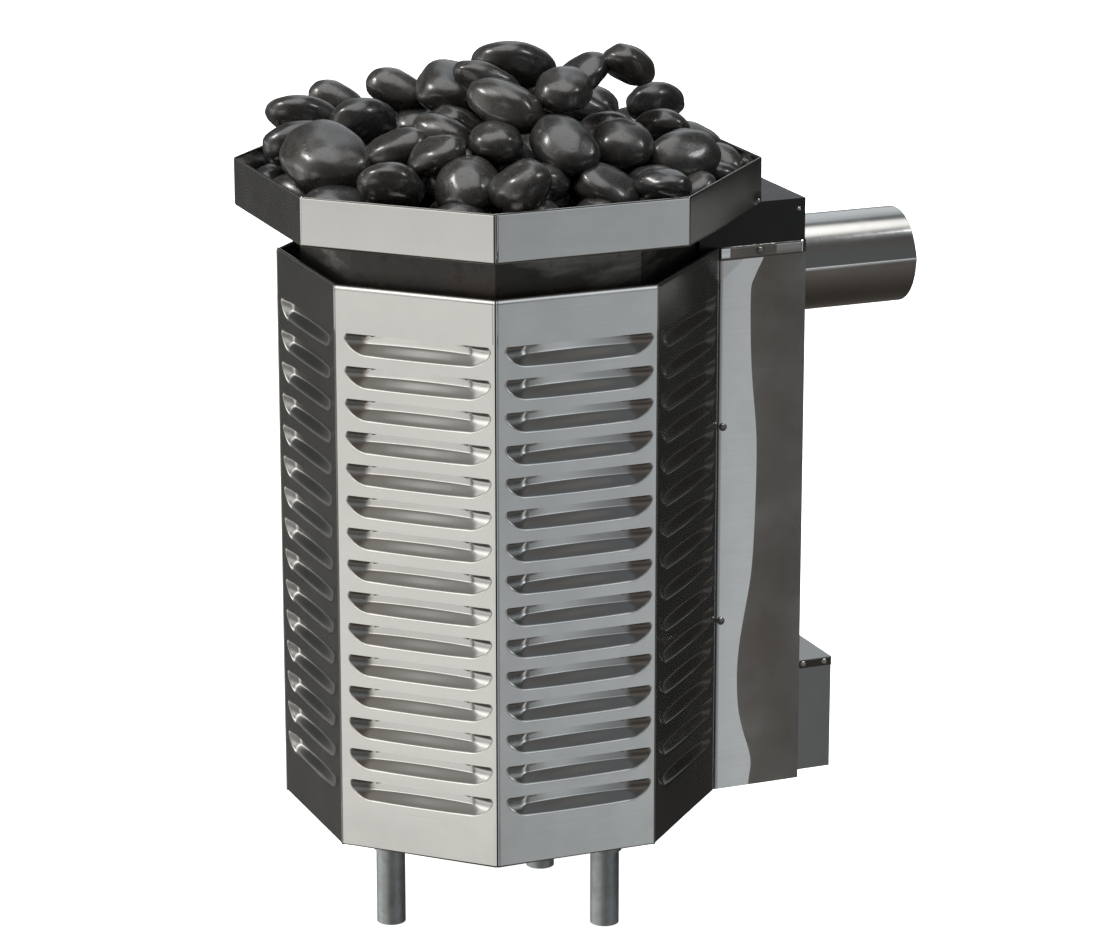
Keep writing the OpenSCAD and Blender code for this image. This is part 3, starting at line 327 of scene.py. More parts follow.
def heated_steel(name, colour):
    """Mill steel darkened by heat, with scale and rusty blooms, and light streaks of painted reflection"""
    f = Finish(name)
    scale_spots = f.noise(60, 6, 0.65)
    bloom = f.noise(9, 5, 0.6, 0.6)
    red, green, blue = colour
    rusty = (red * 1.5, green * 1.15, blue * 0.9)
    tone = f.ramp(bloom, (0.35, tint(colour, 0.7)), (0.55, colour), (0.8, rusty))
    # Painted reflection: light streaks, four times the steel's tone, stand in the colour for glints on the
    # dark steel
    painted_glint_streaks = f.noise(3, 5, 0.62, 0.8, where=f.stretched(1, 1, 4))
    with_painted_glints = f.mix(f.ramp(painted_glint_streaks, (0.56, 0.0), (0.68, 0.9)), tone, tint(colour, 4.0))
    spotted = f.mix(f.ramp(scale_spots, (0.55, 0.0), (0.7, 0.5)), with_painted_glints, tint(colour, 0.45))
    return f.shade(base_color=spotted, metallic=0.75, roughness=bloom * 0.3 + 0.4,
                   normal=f.bump(scale_spots, 0.3, 0.0003))


def zinc_coat(name, colour):
    """Dull galvanised steel with a soft spangle"""
    f = Finish(name)
    spangle = f.node("ShaderNodeTexVoronoi", {"feature": "SMOOTH_F1"},
                     {"Vector": f.place, "Scale": 130.0, "Smoothness": 0.4})
    mottle = f.noise(32, 5, 0.65, 0.3)
    tone = f.ramp(mottle, (0.32, tint(colour, 0.72)), (0.7, tint(colour, 1.18)))
    flecked = f.mix(spangle * 0.35, tone, tint(colour, 1.35))
    return f.shade(base_color=flecked, metallic=0.85, roughness=mottle * 0.3 + 0.38,
                   normal=f.bump(mottle * 0.6 + spangle * 0.4, 0.25, 0.0004))


def bright_metal(name, colour, roughness):
    """Plated or machined metal with hairline scratches"""
    f = Finish(name)
    hair = f.noise(1, 3, 0.6, where=f.stretched(160, 160, 900))
    smear = f.noise(45, 4)
    tone = f.ramp(smear, (0.3, tint(colour, 0.82)), (0.7, colour))
    return f.shade(base_color=tone, metallic=1.0, roughness=hair * 0.1 + smear * 0.14 + roughness,
                   normal=f.bump(hair, 0.15, 0.0001))


def cast_surface(name, colour, metallic):
    """Cast metal with a sandy skin"""
    f = Finish(name)
    sand = f.noise(300, 4, 0.7)
    patch = f.noise(24, 4)
    tone = f.ramp(patch, (0.35, tint(colour, 0.75)), (0.7, tint(colour, 1.2)))
    return f.shade(base_color=tone, metallic=metallic, roughness=patch * 0.25 + 0.42,
                   normal=f.bump(sand, 0.35, 0.0003))


def moulded(name, colour, roughness):
    """Moulded plastic, glazed ceramic or a lead's sheath, with a fine skin and faint wear"""
    f = Finish(name)
    skin = f.noise(700, 2)
    wear = f.noise(30, 4)
    worn = tuple(min(1, part * 1.1 + 0.01) for part in colour)
    tone = f.ramp(wear, (0.35, tint(colour, 0.85)), (0.75, worn))
    return f.shade(base_color=tone, metallic=0.0, roughness=wear * 0.16 + roughness,
                   normal=f.bump(skin, 0.12, 0.0001))


def polished_stone(name, colour):
    """Dark polished stone: speckled grain, brownish and grey veins, small pits"""
    f = Finish(name)
    own = f.node("ShaderNodeNewGeometry", out="Random Per Island")
    specks = f.noise(520, 4, 0.75)
    grain = f.noise(130, 6, 0.7)
    vein = f.noise(26, 6, 0.62, 1.4)
    pits = f.ramp(f.noise(240, 3), (0.30, 0.0), (0.37, 1.0))
    red, green, blue = colour
    warm = (red * 2.2, green * 1.9, blue * 1.6)
    base = f.mix(f.ramp(own, (0.1, 0.0), (0.95, 0.55)), colour, warm)
    veined = f.mix(f.ramp(vein, (0.55, 0.0), (0.72, 0.7)), base, tint(colour, 2.4))
    speckled = f.mix(f.ramp(specks, (0.6, 0.0), (0.72, 0.55)), veined, tint(colour, 3.5))
    dark = f.mix(f.ramp(grain, (0.35, 0.5), (0.5, 0.0)), speckled, tint(colour, 0.35))
    rough = (1 - pits) * 0.3 + grain * 0.2 + vein * 0.14 + 0.12
    uneven = f.bump(vein, 0.3, 0.0012)
    return f.shade(base_color=dark, metallic=0.0, roughness=rough, ior=1.6, coat_weight=0.3,
                   coat_roughness=0.06, normal=f.bump(pits * 0.7 + grain * 0.3, 0.35, 0.0005, uneven))


FINISHES = {}


def finish_of(key):
    """The material of a record slot, or one of the finishes that only this script has, made once"""
    if key not in FINISHES:
        chosen = settings().finishes
        steel, zinc, paint = tuple(chosen.steel), tuple(chosen.zinc), tuple(chosen.paint)
        dull = tint(steel, 0.42)
        makers = {
            "stainless": (brushed_sheet, "brushed_stainless", steel, 0.15, 0.0018, 0.04),
            "tray_steel": (brushed_sheet, "brushed_tray_steel", tint(steel, 0.94), 0.16, 0.0016, 0.04),
            "cover_steel": (brushed_sheet, "warped_cover_sheet", steel, 0.12, 0.0006, 0.02, cover_warp),
            "pipe_steel": (brushed_sheet, "rolled_pipe_sheet", tint(steel, 0.9), 0.15, 0.0006, 0.1, None,
                           (5, 1100, 5)),
            "box_steel": (brushed_sheet, "dull_box_steel", dull, 0.24, 0.001),
            "lid_steel": (brushed_sheet, "dull_lid_steel", dull, 0.24, 0.001, 0.1, lid_warp),
            "galvanised": (zinc_coat, "galvanised_steel", zinc),
            "black_paint": (black_coat, "black_heat_paint", paint),
            "hot_steel": (heated_steel, "heat_darkened_steel", (0.11, 0.107, 0.102)),
            "iron": (cast_surface, "cast_iron", (0.06, 0.057, 0.055), 0.7),
            "die_cast": (cast_surface, "die_cast_aluminium", (0.52, 0.53, 0.54), 0.9),
            "brass": (bright_metal, "machined_brass", (0.62, 0.44, 0.17), 0.22),
            "copper": (bright_metal, "drawn_copper", (0.66, 0.31, 0.17), 0.24),
            "screw": (bright_metal, "bright_zinc_screws", (0.8, 0.8, 0.8), 0.12),
            "dark_screw": (bright_metal, "blackened_screws", (0.5, 0.5, 0.5), 0.06),
            "black_plastic": (moulded, "black_phenolic", (0.012, 0.012, 0.013), 0.3),
            "red_plastic": (moulded, "red_plastic", (0.42, 0.012, 0.01), 0.24),
            "ceramic": (moulded, "glazed_ceramic", (0.78, 0.76, 0.7), 0.12),
            "lead_red": (moulded, "red_silicone_sheath", (0.36, 0.014, 0.01), 0.42),
            "lead_black": (moulded, "black_silicone_sheath", (0.012, 0.012, 0.012), 0.42),
            "rock": (polished_stone, "polished_stone", tuple(chosen.stone)),
        }
        maker, *values = makers[key]
        FINISHES[key] = maker(*values)
    return FINISHES[key]


# Meshes
class Sheet:
    """A mesh put together face by face, whose corners join where they meet"""

    def __init__(self):
        self.faces = []

    def face(self, *points):
        self.faces.append([Vector(point) for point in points])

    def strips(self, rows, closed=False):
        """Quads between each row of points and the next"""
        for first, second in zip(rows, rows[1:]):
            if closed:
                first, second = first + first[:1], second + second[:1]
            for k in range(len(first) - 1):
                self.face(first[k], first[k + 1], second[k + 1], second[k])

    def build(self, name, place=Matrix()):
        """Joins corners closer than the weld distance and keeps shading from running over open edges"""
        weld = 0.00002
        joined = bmesh.new()
        for points in self.faces:
            joined.faces.new([joined.verts.new(place @ point) for point in points])
        bmesh.ops.remove_doubles(joined, verts=joined.verts, dist=weld)
        for edge in joined.edges:
            edge.smooth = not edge.is_boundary
        mesh = bpy.data.meshes.new(name)
        joined.to_mesh(mesh)
        joined.free()
        mesh.validate()
        return added(name, mesh)


def added(name, data):
    """A new object in the scene"""
    made = bpy.data.objects.new(name, data)
    bpy.context.scene.collection.objects.link(made)
    return made


def dress(piece, slot, body, *nodes, angle=40, finish=None):
    """Gives a new piece its finish, smooth shading and body, and hides the nodes that it stands for"""
    piece.data.materials.append(finish_of(finish or slot))
    piece.data.shade_smooth()
    if angle is not None:
        with bpy.context.temp_override(object=piece, selected_objects=[piece], active_object=piece,
                                       selected_editable_objects=[piece]):
            bpy.ops.object.shade_smooth_by_angle(angle=math.radians(angle))
    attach(piece, body)
    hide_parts(*nodes)


def thicken(piece, thickness):
    made = piece.modifiers.new("thickness", "SOLIDIFY")
    made.thickness, made.offset = thickness, -1


def soften(piece, width):
    made = piece.modifiers.new("soft edges", "BEVEL")
    made.width, made.segments, made.limit_method = width, 3, "ANGLE"
    made.angle_limit = math.radians(30)


def even_shading(piece):
    """Keeps the large flat faces flat beside their round folds"""
    made = piece.modifiers.new("even shading", "WEIGHTED_NORMAL")
    made.keep_sharp, made.weight = True, 80


def arc(centre, radius, start, end, steps):
    """Points of a round stretch, between two angles"""
    return [(centre[0] + radius * math.cos(start + (end - start) * k / steps),
             centre[1] + radius * math.sin(start + (end - start) * k / steps)) for k in range(steps + 1)]


# Louvred body
def turned(turns):
    """Turns the front panel's place to another face of the octagon"""
    return Matrix.Translation((0, HEATER_AXIS, 0)) @ Matrix.Rotation(turns * FACE_TURN, 4, "Z")


def eased_ramp(t, start, end):
    """Goes from 0 to 1 along a straight ramp with a round start and end"""
    t = max(0, min(1, t))
    slope = 1 / (1 - start / 2 - end / 2)
    if t < start:
        return slope * t * t / (2 * start)
    if t > 1 - end:
        return 1 - slope * (1 - t) ** 2 / (2 * end)
    return slope * (t - start / 2)


def blended_least(a, b, width):
    """The lesser of two depths, with a round crossing"""
    share = max(0, width - abs(a - b)) / width
    return min(a, b) - share * share * width / 4


def louvre_depth_at(across, drop, body):
    """Depth of a louvre at a point beside its middle and under its cut"""
    height, corner, half = body.louvre_height, body.louvre_corner, body.louvre_width / 2
    rounding, crossing, steepest = 0.0018, 0.0006, 0.6

    # Under the cut comes an arched, slightly leaning band, and then a ramp to the louvre's foot
    band, lean = height * 0.42, 0.07
    arch = body.louvre_depth * (1 - body.louvre_arch * (across / half) ** 2)
    ramp = eased_ramp((drop - band) / (height - band), start=0.12, end=0.4)
    fall = lean * min(drop, band) + (arch - lean * band) * ramp

    # A facet slopes up from each end, whose outline is round, with tucked corners, and straight at its foot
    reach, straight_from = drop / (height * 0.84), 0.88
    level = math.sqrt(1 - min(reach, straight_from) ** 2)
    outline = max(0, level - max(0, reach - straight_from) * straight_from / level)
    tucked = 1.5 * (corner - math.sqrt(corner ** 2 - max(0, corner - drop) ** 2))
    inward = half - height + height * outline - tucked - abs(across)
    run = inward - rounding / 2 if inward > rounding else max(0, inward) ** 2 / (2 * rounding)
    shape = blended_least(arch - fall, body.louvre_end_slope * run, crossing)

    # No point is deeper than the distance to the louvre's own rim allows
    rim = half - height + math.sqrt(max(0, height ** 2 - drop ** 2)) - abs(across)
    return max(0, min(shape, steepest * max(0, rim)))


def louvre_rows(body):
    """Rows of (across, drop) points that fill a louvre, from its cut edge down to its outline"""
    height, end_step = body.louvre_height, 0.0021
    straight = body.louvre_width / 2 - height
    side = [straight - end_step * k for k in range(1, 12)] + [straight * share for share in (0.42, 0.22)]
    middle = [-a for a in side] + [0] + side[::-1]
    outline = (arc((-straight, 0), height, math.pi, math.pi / 2, LOUVRE_STEPS)
               + [(a, height) for a in middle]
               + arc((straight, 0), height, math.pi / 2, 0, LOUVRE_STEPS))
    shares = (0, 0.1, 0.2, 0.3, 0.4, 0.45, 0.5, 0.56, 0.63, 0.7, 0.77, 0.84, 0.9, 0.95, 0.98, 1)
    return [[(a, drop * share) for a, drop in outline] for share in shares]


def edge_profile(edge, flat_half, half, fold):
    """The sheet's way round a panel's side edge, from the flat outward, as (across, depth)"""
    if edge == "seam":
        tip = half - 0.0013
        return [(flat_half, 0), (tip - 0.0011, 0.00002), (tip - 0.0006, 0.00015), (tip - 0.00025, 0.0004),
                (tip, 0.0009), (tip, 0.006)]
    points = arc((flat_half, fold), fold, -math.pi / 2, HALF_TURN - math.pi / 2, 5)
    across, depth = points[-1]
    return points + [(half, depth + (half - across) * math.tan(HALF_TURN))]


def louvred_panel(name, turns, left_edge, right_edge):
    """One louvred face. Across is -X to +X, depth counts inward, and drop is down from a louvre's cut."""
    body = settings().body
    half = body.flats / 2 * math.tan(HALF_TURN)
    flat_half = half - body.fold * math.tan(HALF_TURN / 2) - 0.0002
    both_sides = [-flat_half, flat_half]
    margin = (body.louvre_pitch - body.louvre_height) / 2
    below = body.louvre_height + margin
    cuts = [body.top - body.louvre_drop - k * body.louvre_pitch for k in range(body.louvre_count)]
    cut_ends = [body.louvre_slide + side * body.louvre_width / 2 for side in (-1, 1)]
    sheet = Sheet()

    def outward(across, depth, height):
        return (across, depth - body.flats / 2, height)

    # A flat strip frames each louvre, and has one point on its edge for each of the louvre's outline
    louvre = louvre_rows(body)
    inner = [a for a, drop in louvre[-1][LOUVRE_STEPS:-LOUVRE_STEPS]]
    corner_steps = LOUVRE_STEPS // 2
    run = [-flat_half + (flat_half + inner[0]) * k / corner_steps for k in range(corner_steps)]
    foot_line = run + inner + [-a for a in reversed(run)]
    drops = [below * k / corner_steps for k in range(corner_steps)]
    frame_line = ([(-flat_half, drop) for drop in drops] + [(a, below) for a in foot_line]
                  + [(flat_half, drop) for drop in reversed(drops)])
    for cut in cuts:
        outline = [outward(a + body.louvre_slide, 0, cut - drop) for a, drop in louvre[-1]]
        sheet.strips([[outward(a, 0, cut - drop) for a, drop in frame_line], outline])
        upper = both_sides if cut == cuts[0] else foot_line
        sheet.face(*[outward(a, 0, cut) for a in (-flat_half, *cut_ends, flat_half)],
                   *[outward(a, 0, cut + margin) for a in reversed(upper)])
        sheet.strips([[outward(a + body.louvre_slide, louvre_depth_at(a, drop, body), cut - drop)
                       for a, drop in row] for row in reversed(louvre)])

    # Rows of (depth, height): the rolled bottom rim, then the groove and the hem under the top rim
    foot = cuts[-1] - below
    low_rows = [(0, foot)] + [(depth, body.foot + rise) for depth, rise in
                              ((0, 0.0016), (0.00012, 0.0010), (0.0005, 0.0005), (0.0012, 0.0002))]
    for (d0, h0), (d1, h1) in zip(low_rows, low_rows[1:]):
        line = foot_line if h0 == foot else both_sides
        sheet.face(*[outward(a, d1, h1) for a in both_sides], *[outward(a, d0, h0) for a in reversed(line)])
    lean, radius = 0.0003, 0.0016
    top_rows = [(0, cuts[0] + margin)] + [(depth, body.top - drop) for depth, drop in
                                          ((0, 0.0050), (0.0003, 0.0048), (0.0003, 0.0042), (0, 0.0040),
                                           (0.00006, 0.0030))]
    crest = len(top_rows) + 4
    top_rows += arc((lean + radius, body.top - radius), radius, math.pi, 0, 7)
    top_rows.append((lean + 2 * radius, body.top - 0.009))
    sheet.strips([[outward(a, depth, height) for a in both_sides] for depth, height in top_rows])

    # The side edges have a row at each point of the flat strips, and reach up to the hem's crest
    side_rows = [(0, cut - drop) for cut in cuts for drop in (*drops, below)]
    side_rows = sorted(side_rows + low_rows[1:] + top_rows[:crest], key=lambda row: row[1])
    for side, edge in ((-1, left_edge), (1, right_edge)):
        profile = edge_profile(edge, flat_half, half, body.fold)[::side]
        sheet.strips([[outward(side * a, turn_in + depth, height) for a, turn_in in profile]
                      for depth, height in side_rows])
    piece = sheet.build("louvred_" + name, turned(turns))
    thicken(piece, body.sheet * 0.7)
    dress(piece, "stainless", "heater", name, angle=32)
    even_shading(piece)


def islands(node):
    """The lowest and highest corner of each solid of a CAD node"""
    mesh = frame["nodes"][node].data
    root = list(range(len(mesh.vertices)))

    def find(k):
        while root[k] != k:
            root[k] = root[root[k]]
            k = root[k]
        return k

    # Corners in the same hundredth of a millimetre are one
    same = {}
    for vertex in mesh.vertices:
        key = tuple(round(part * 100000) for part in vertex.co)
        if key in same:
            root[find(vertex.index)] = find(same[key])
        else:
            same[key] = vertex.index
    for edge in mesh.edges:
        a, b = (find(k) for k in edge.vertices)
        root[a] = b
    boxes = {}
    for vertex in mesh.vertices:
        low, high = boxes.setdefault(find(vertex.index), (vertex.co.copy(), vertex.co.copy()))
        for k in range(3):
            low[k], high[k] = min(low[k], vertex.co[k]), max(high[k], vertex.co[k])
    return sorted(boxes.values(), key=lambda pair: tuple(round(part, 4) for part in pair[0]))


# Rock tray
def octagon_line(apothem, radius, height, seam_depth):
    """Points round an octagon with round corners, with a seam beside one corner"""
    points = []
    centre_reach = (apothem - radius) / math.cos(HALF_TURN)
    for k in range(8):
        middle = -HALF_TURN + k * FACE_TURN
        centre = (centre_reach * math.cos(middle), centre_reach * math.sin(middle))
        points += arc(centre, radius, middle - HALF_TURN, middle + HALF_TURN, 6)
        if k == 0:
            x, y = points[-1]
            points += [(x - depth * seam_depth, y + reach) for reach, depth in
                       ((0.0004, 0), (0.0006, 0.5), (0.0018, 1), (0.0030, 0.5), (0.0032, 0))]
    return [(x, HEATER_AXIS + y, height) for x, y in points]


def rock_tray():
    """The tray's sheet, from under its floor up the wall, over the hem and down inside"""
    low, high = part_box("rock_tray")
    reach, foot, top = high.x, low.z, high.z
    fold, hem, wall = settings().tray.fold, settings().tray.hem, settings().body.sheet
    hem_rise, seam_depth = 0.0022, 0.0022
    profile = [(0.014, foot)] + arc((fold, foot + fold), fold, -math.pi / 2, -math.pi, 6)
    profile += [(0, foot + 0.016), (0, top - hem)]
    profile += [(wall * (1 + across), top - hem_rise + hem_rise * up)
                for across, up in arc((0, 0), 1, math.pi, 0, 8)]
    profile += [(2 * wall, top - hem), (1.1 * wall, top - hem + 0.0004), (1.05 * wall, foot + fold),
                (fold * 0.6 + wall, foot + 2 * wall), (fold + 2 * wall, foot + 1.7 * wall)]
    lines = []
    for offset, height in profile:
        on_wall = offset < 0.002 and height > foot + 0.004
        lines.append(octagon_line(reach - offset, max(fold - offset, 0.0004), height, seam_depth * on_wall))
    sheet = Sheet()
    sheet.strips(lines, closed=True)
    sheet.face(*reversed(lines[0]))
    sheet.face(*lines[-1])
    piece = sheet.build("folded_rock_tray")
    dress(piece, "tray_steel", "tray", "rock_tray", angle=28)
    even_shading(piece)


# Stones
def extent(points):
    """The lowest and highest corner of a cloud of points"""
    return (Vector([min(p[k] for p in points) for k in range(3)]),
            Vector([max(p[k] for p in points) for k in range(3)]))


def pebble(low, high, seed, detail, unevenness, room):
    """A worn stone's points and faces in the place of one CAD stone, kept inside the room"""
    ball = bmesh.new()
    bmesh.ops.create_icosphere(ball, subdivisions=detail, radius=1)
    rng = random.Random(seed)
    shift = Vector((rng.uniform(-50, 50), rng.uniform(-50, 50), rng.uniform(-50, 50)))
    middle, half = (low + high) / 2, (high - low) / 2
    long_way = rng.uniform(1.05, 1.25)
    turn = (Matrix.Rotation(rng.uniform(0, math.tau), 3, "Z")
            @ Matrix.Rotation(rng.uniform(-0.6, 0.6), 3, "X")
            @ Matrix.Rotation(rng.uniform(-0.6, 0.6), 3, "Y")
            @ Matrix.Rotation(rng.uniform(0, math.tau), 3, "Z"))
    flat = half.z / half.x * rng.uniform(0.86, 1.1)
    square = rng.uniform(0.0, 0.16)
    points = []
    for vertex in ball.verts:
        p = vertex.co.normalized()
        swell = 1 + unevenness * (0.9 * noise.noise(p * 0.9 + shift) + 0.32 * noise.noise(p * 2.0 - shift)
                                  + 0.07 * noise.noise(p * 4.6 + shift * 2))
        boxy = 1 - 0.8 * square * (p.x ** 4 + p.y ** 4 + p.z ** 4 - 0.6)
        points.append(turn @ (Vector((p.x * long_way, p.y / long_way, p.z * flat)) * swell * boxy))
    faces = [[v.index for v in f.verts] for f in ball.faces]
    ball.free()

    lows, highs = extent(points)
    grow = [2 * half[k] / (highs[k] - lows[k]) for k in range(3)]
    even = (grow[0] * grow[1] * grow[2]) ** (1 / 3) * 1.2
    scale = [min(even, share * most) for share, most in zip(grow, (1.28, 1.28, 1.3))]
    centre = (lows + highs) / 2
    points = [Vector([(p[k] - centre[k]) * scale[k] for k in range(3)]) + middle for p in points]

    # The stone moves into the room's box, and then off the tray's eight walls, twice over
    lows, highs = extent(points)
    room_low, room_high = room
    push = Vector([max(0, room_low[k] - lows[k]) - max(0, highs[k] - room_high[k]) for k in range(3)])
    points = [p + push for p in points]
    reach = room_high.x - 0.0015
    for k in [*range(8)] * 2:
        way = Vector((math.cos(k * FACE_TURN), math.sin(k * FACE_TURN), 0))
        over = max(p.dot(way) for p in points) - HEATER_AXIS * way.y - reach
        if over > 0:
            points = [p - way * over for p in points]
    return points, faces


def stone_heap(node, detail):
    stones = settings().stones
    low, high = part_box("rock_tray")
    wall = 0.0035
    room = (Vector((low.x + wall, low.y + wall, low.z + 0.002)),
            Vector((high.x - wall, high.y - wall, CAD_BOX[1].z - 0.0002)))
    points, faces = [], []
    for count, corners in enumerate(islands(node)):
        seed = stones.seed * 1000 + count * 17 + len(node) * 131
        made, sides = pebble(*corners, seed, detail, stones.unevenness, room)
        faces += [[len(points) + k for k in side] for side in sides]
        points += made
    mesh = bpy.data.meshes.new("pebbles_" + node)
    mesh.from_pydata(points, [], faces)
    dress(added("pebbles_" + node, mesh), "rock", "tray", node, angle=None)


# Screws and rivets
def screw_head(sheet, seat, outward, radius, height, recess):
    """A pan head standing on its seat, with a cross recess, or plain and domed like a rivet"""
    across = Vector((0, 1, 0)) if abs(outward.y) < 0.9 else Vector((1, 0, 0))
    up = outward.cross(across).normalized()
    across = up.cross(outward).normalized()

    # Shares of the radius and the height, from the rim to the middle
    shape = ([(1.0, 0.0), (1.0, 0.30), (0.97, 0.46), (0.9, 0.62), (0.8, 0.78), (0.68, 0.89), (0.55, 0.95),
              (0.42, 0.985), (0.3, 1.0), (0.2, 1.0), (0.1, 1.0), (0.0, 1.0)] if recess else
             [(1.0, 0.0), (0.985, 0.14), (0.93, 0.34), (0.83, 0.55), (0.7, 0.73), (0.54, 0.87), (0.36, 0.955),
              (0.18, 0.99), (0.0, 1.0)])
    turns, recess_turn = 32, math.radians(15)
    along, aside = math.cos(recess_turn), math.sin(recess_turn)
    rows = []
    for share, rise in shape:
        row = []
        for k in range(turns):
            a = math.tau * k / turns
            x, y = share * math.cos(a), share * math.sin(a)
            sunk = 0
            if recess and share < 0.6:
                arm = min(abs(x * along + y * aside), abs(y * along - x * aside))
                sunk = 0.5 * max(0, min(1, (0.13 - arm) / 0.05)) * max(0, min(1, (0.56 - share) / 0.1))
            row.append(seat + (across * x + up * y) * radius + outward * height * (rise - sunk))
        rows.append(row)
    sheet.strips(rows, closed=True)


def heads(node, name, slot, recess, finish=None):
    """Detailed heads in place of a node's plain screws or rivets, which point along X"""
    sheet = Sheet()
    for low, high in islands(node):
        seat = (low + high) / 2
        way = Vector((1 if seat.x > 0 else -1, 0, 0))
        radius = max(high.y - low.y, high.z - low.z) / 2
        height = radius * (0.66 if recess else 0.6)
        seat.x = (high.x if way.x > 0 else low.x) - way.x * height
        screw_head(sheet, seat, way, radius, height, recess)
    dress(sheet.build(name), slot, "heater", node, angle=35, finish=finish)


def tray_rivet():
    low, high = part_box("tray_rivet")
    out = Vector((math.cos(FACE_TURN), math.sin(FACE_TURN), 0))
    reach = max(v.co.dot(out) for v in frame["nodes"]["tray_rivet"].data.vertices)
    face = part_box("rock_tray")[1].x + HEATER_AXIS * out.y
    middle = (low + high) / 2
    seat = middle + out * (face - middle.dot(out))
    sheet = Sheet()
    screw_head(sheet, seat, out, (high.z - low.z) / 2, reach - face, False)
    dress(sheet.build("tray_seam_rivet"), "screw", "tray", "tray_rivet", angle=35)


# Side covers and flue pipe
def eased(t):
    t = max(0, min(1, t))
    return t * t * (3 - 2 * t)


def side_cover(name, side):
    """A thin cover with a bent front edge, a return at the back, a raised lip and a slight bow"""
    low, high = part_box("side_cover_right")
    front, rear = low.y, high.y
    fold, rise = 0.0016, 0.0012
    face = high.x - rise
    lip_foot = high.z - 0.013
    columns = arc((-fold, front + fold), fold, -math.pi / 2, 0, 5)
    flat_steps, rows_below_lip = 30, 90
    columns += [(0, front + fold + (rear - 0.0002 - front - fold) * k / flat_steps)
                for k in range(1, flat_steps + 1)]
    columns += [(-0.0002, rear), (-0.012, rear)]
    heights = [low.z + 0.0001, low.z + 0.0006]
    heights += [low.z + 0.0006 + (lip_foot - 0.002 - low.z) * k / rows_below_lip
                for k in range(1, rows_below_lip + 1)]
    heights += [lip_foot + step for step in (-0.0007, -0.0002, 0.0003, 0.0009, 0.0016)]
    heights += [high.z - drop for drop in (0.006, 0.0026, 0.0020, 0.0014, 0.0007, 0.0002)]
    rows = []
    for z in heights:
        row = []
        for depth, y in columns:
            lift = (eased((z - lip_foot + 0.0007) / 0.002) * eased((y - front - 0.0002) / 0.0014)
                    * eased((rear - 0.0003 - y) / 0.003))
            top_round = eased((z - high.z + 0.0024) / 0.0024) ** 2
            raised = rise * (lift - top_round) if depth > -0.99 * fold else 0
            bow = -0.0004 * (2 * (y - front) / (rear - front) - 1) ** 2 if depth > -0.004 else 0
            row.append((side * (face + depth + raised + bow * (1 - lift)), y, z))
        rows.append(row)
    sheet = Sheet()
    sheet.strips(rows[::side])
    piece = sheet.build("folded_" + name)
    thicken(piece, 0.0007)
    dress(piece, "stainless", "heater", name, finish="cover_steel")


def flue_pipe():
    """Rolled pipe with a raised lock seam along its side and a folded end"""
    low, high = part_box("flue_pipe")
    radius = (high.x - low.x) / 2
    centre = (low + high) / 2
    wall, ridge, shoulder, crest = 0.0009, 0.0018, 0.006, 0.0018
    seam_turn = math.radians(5.5)
    steps, crowding = 90, 1.6
    half_ring = [round(180 * (k / steps) ** crowding, 4) for k in range(steps + 1)]
    around = [-degrees for degrees in reversed(half_ring[1:-1])] + half_ring

    def ring(y, inset):
        row = []
        for degrees in around:
            away = radius * math.radians(degrees)
            reach = radius - inset + ridge * math.exp((crest - math.hypot(away, crest)) / shoulder)
            a = seam_turn + math.radians(degrees)
            row.append((centre.x + reach * math.cos(a), y, centre.z + reach * math.sin(a)))
        return row

    lengths = [low.y, low.y + 0.0012, low.y + 0.0024]
    lengths += [low.y + 0.02 + (high.y - low.y - 0.024) * k / 12 for k in range(13)]
    lengths += [high.y - 0.0020, high.y - 0.0006]
    rows = [ring(y, 0) for y in lengths] + [ring(high.y, 0.0004), ring(high.y - 0.0001, wall)]
    rows += [ring(y, wall + 0.0001) for y in (high.y - 0.002, low.y + 0.001)]
    sheet = Sheet()
    sheet.strips(rows, closed=True)
    piece = sheet.build("rolled_flue_pipe")
    dress(piece, "stainless", "heater", "flue_pipe", angle=25, finish="pipe_steel")


def dress_frame_nodes():
    """Gives each node that still shows its finish, with softened edges on the larger sheet parts"""
    soft = {"flue_box": 0.0011, "control_box": 0.0009, "control_lid": 0.0005, "valve_knob": 0.0008,
            "igniter_body": 0.0005, "igniter_button": 0.0008, "reset_button": 0.0008, "gas_inlet": 0.0006,
            "leg_front": 0.0006, "leg_rear_left": 0.0006, "leg_rear_right": 0.0006, "base_pan": 0.0006,
            "leg_sockets": 0.0005, "gas_valve": 0.0015, "cable_bushing": 0.0004, "firebox": 0.001,
            "firebox_lid": 0.0008, "leg_bolts": 0.0004, "burner": 0.001}
    own_finish = {"control_box": "box_steel", "control_lid": "lid_steel"}
    for node, piece in frame["nodes"].items():
        if piece.hide_render:
            continue
        piece.data.materials.clear()
        piece.data.materials.append(finish_of(own_finish.get(node, SLOTS[node])))
        if node in soft:
            soften(piece, soft[node])


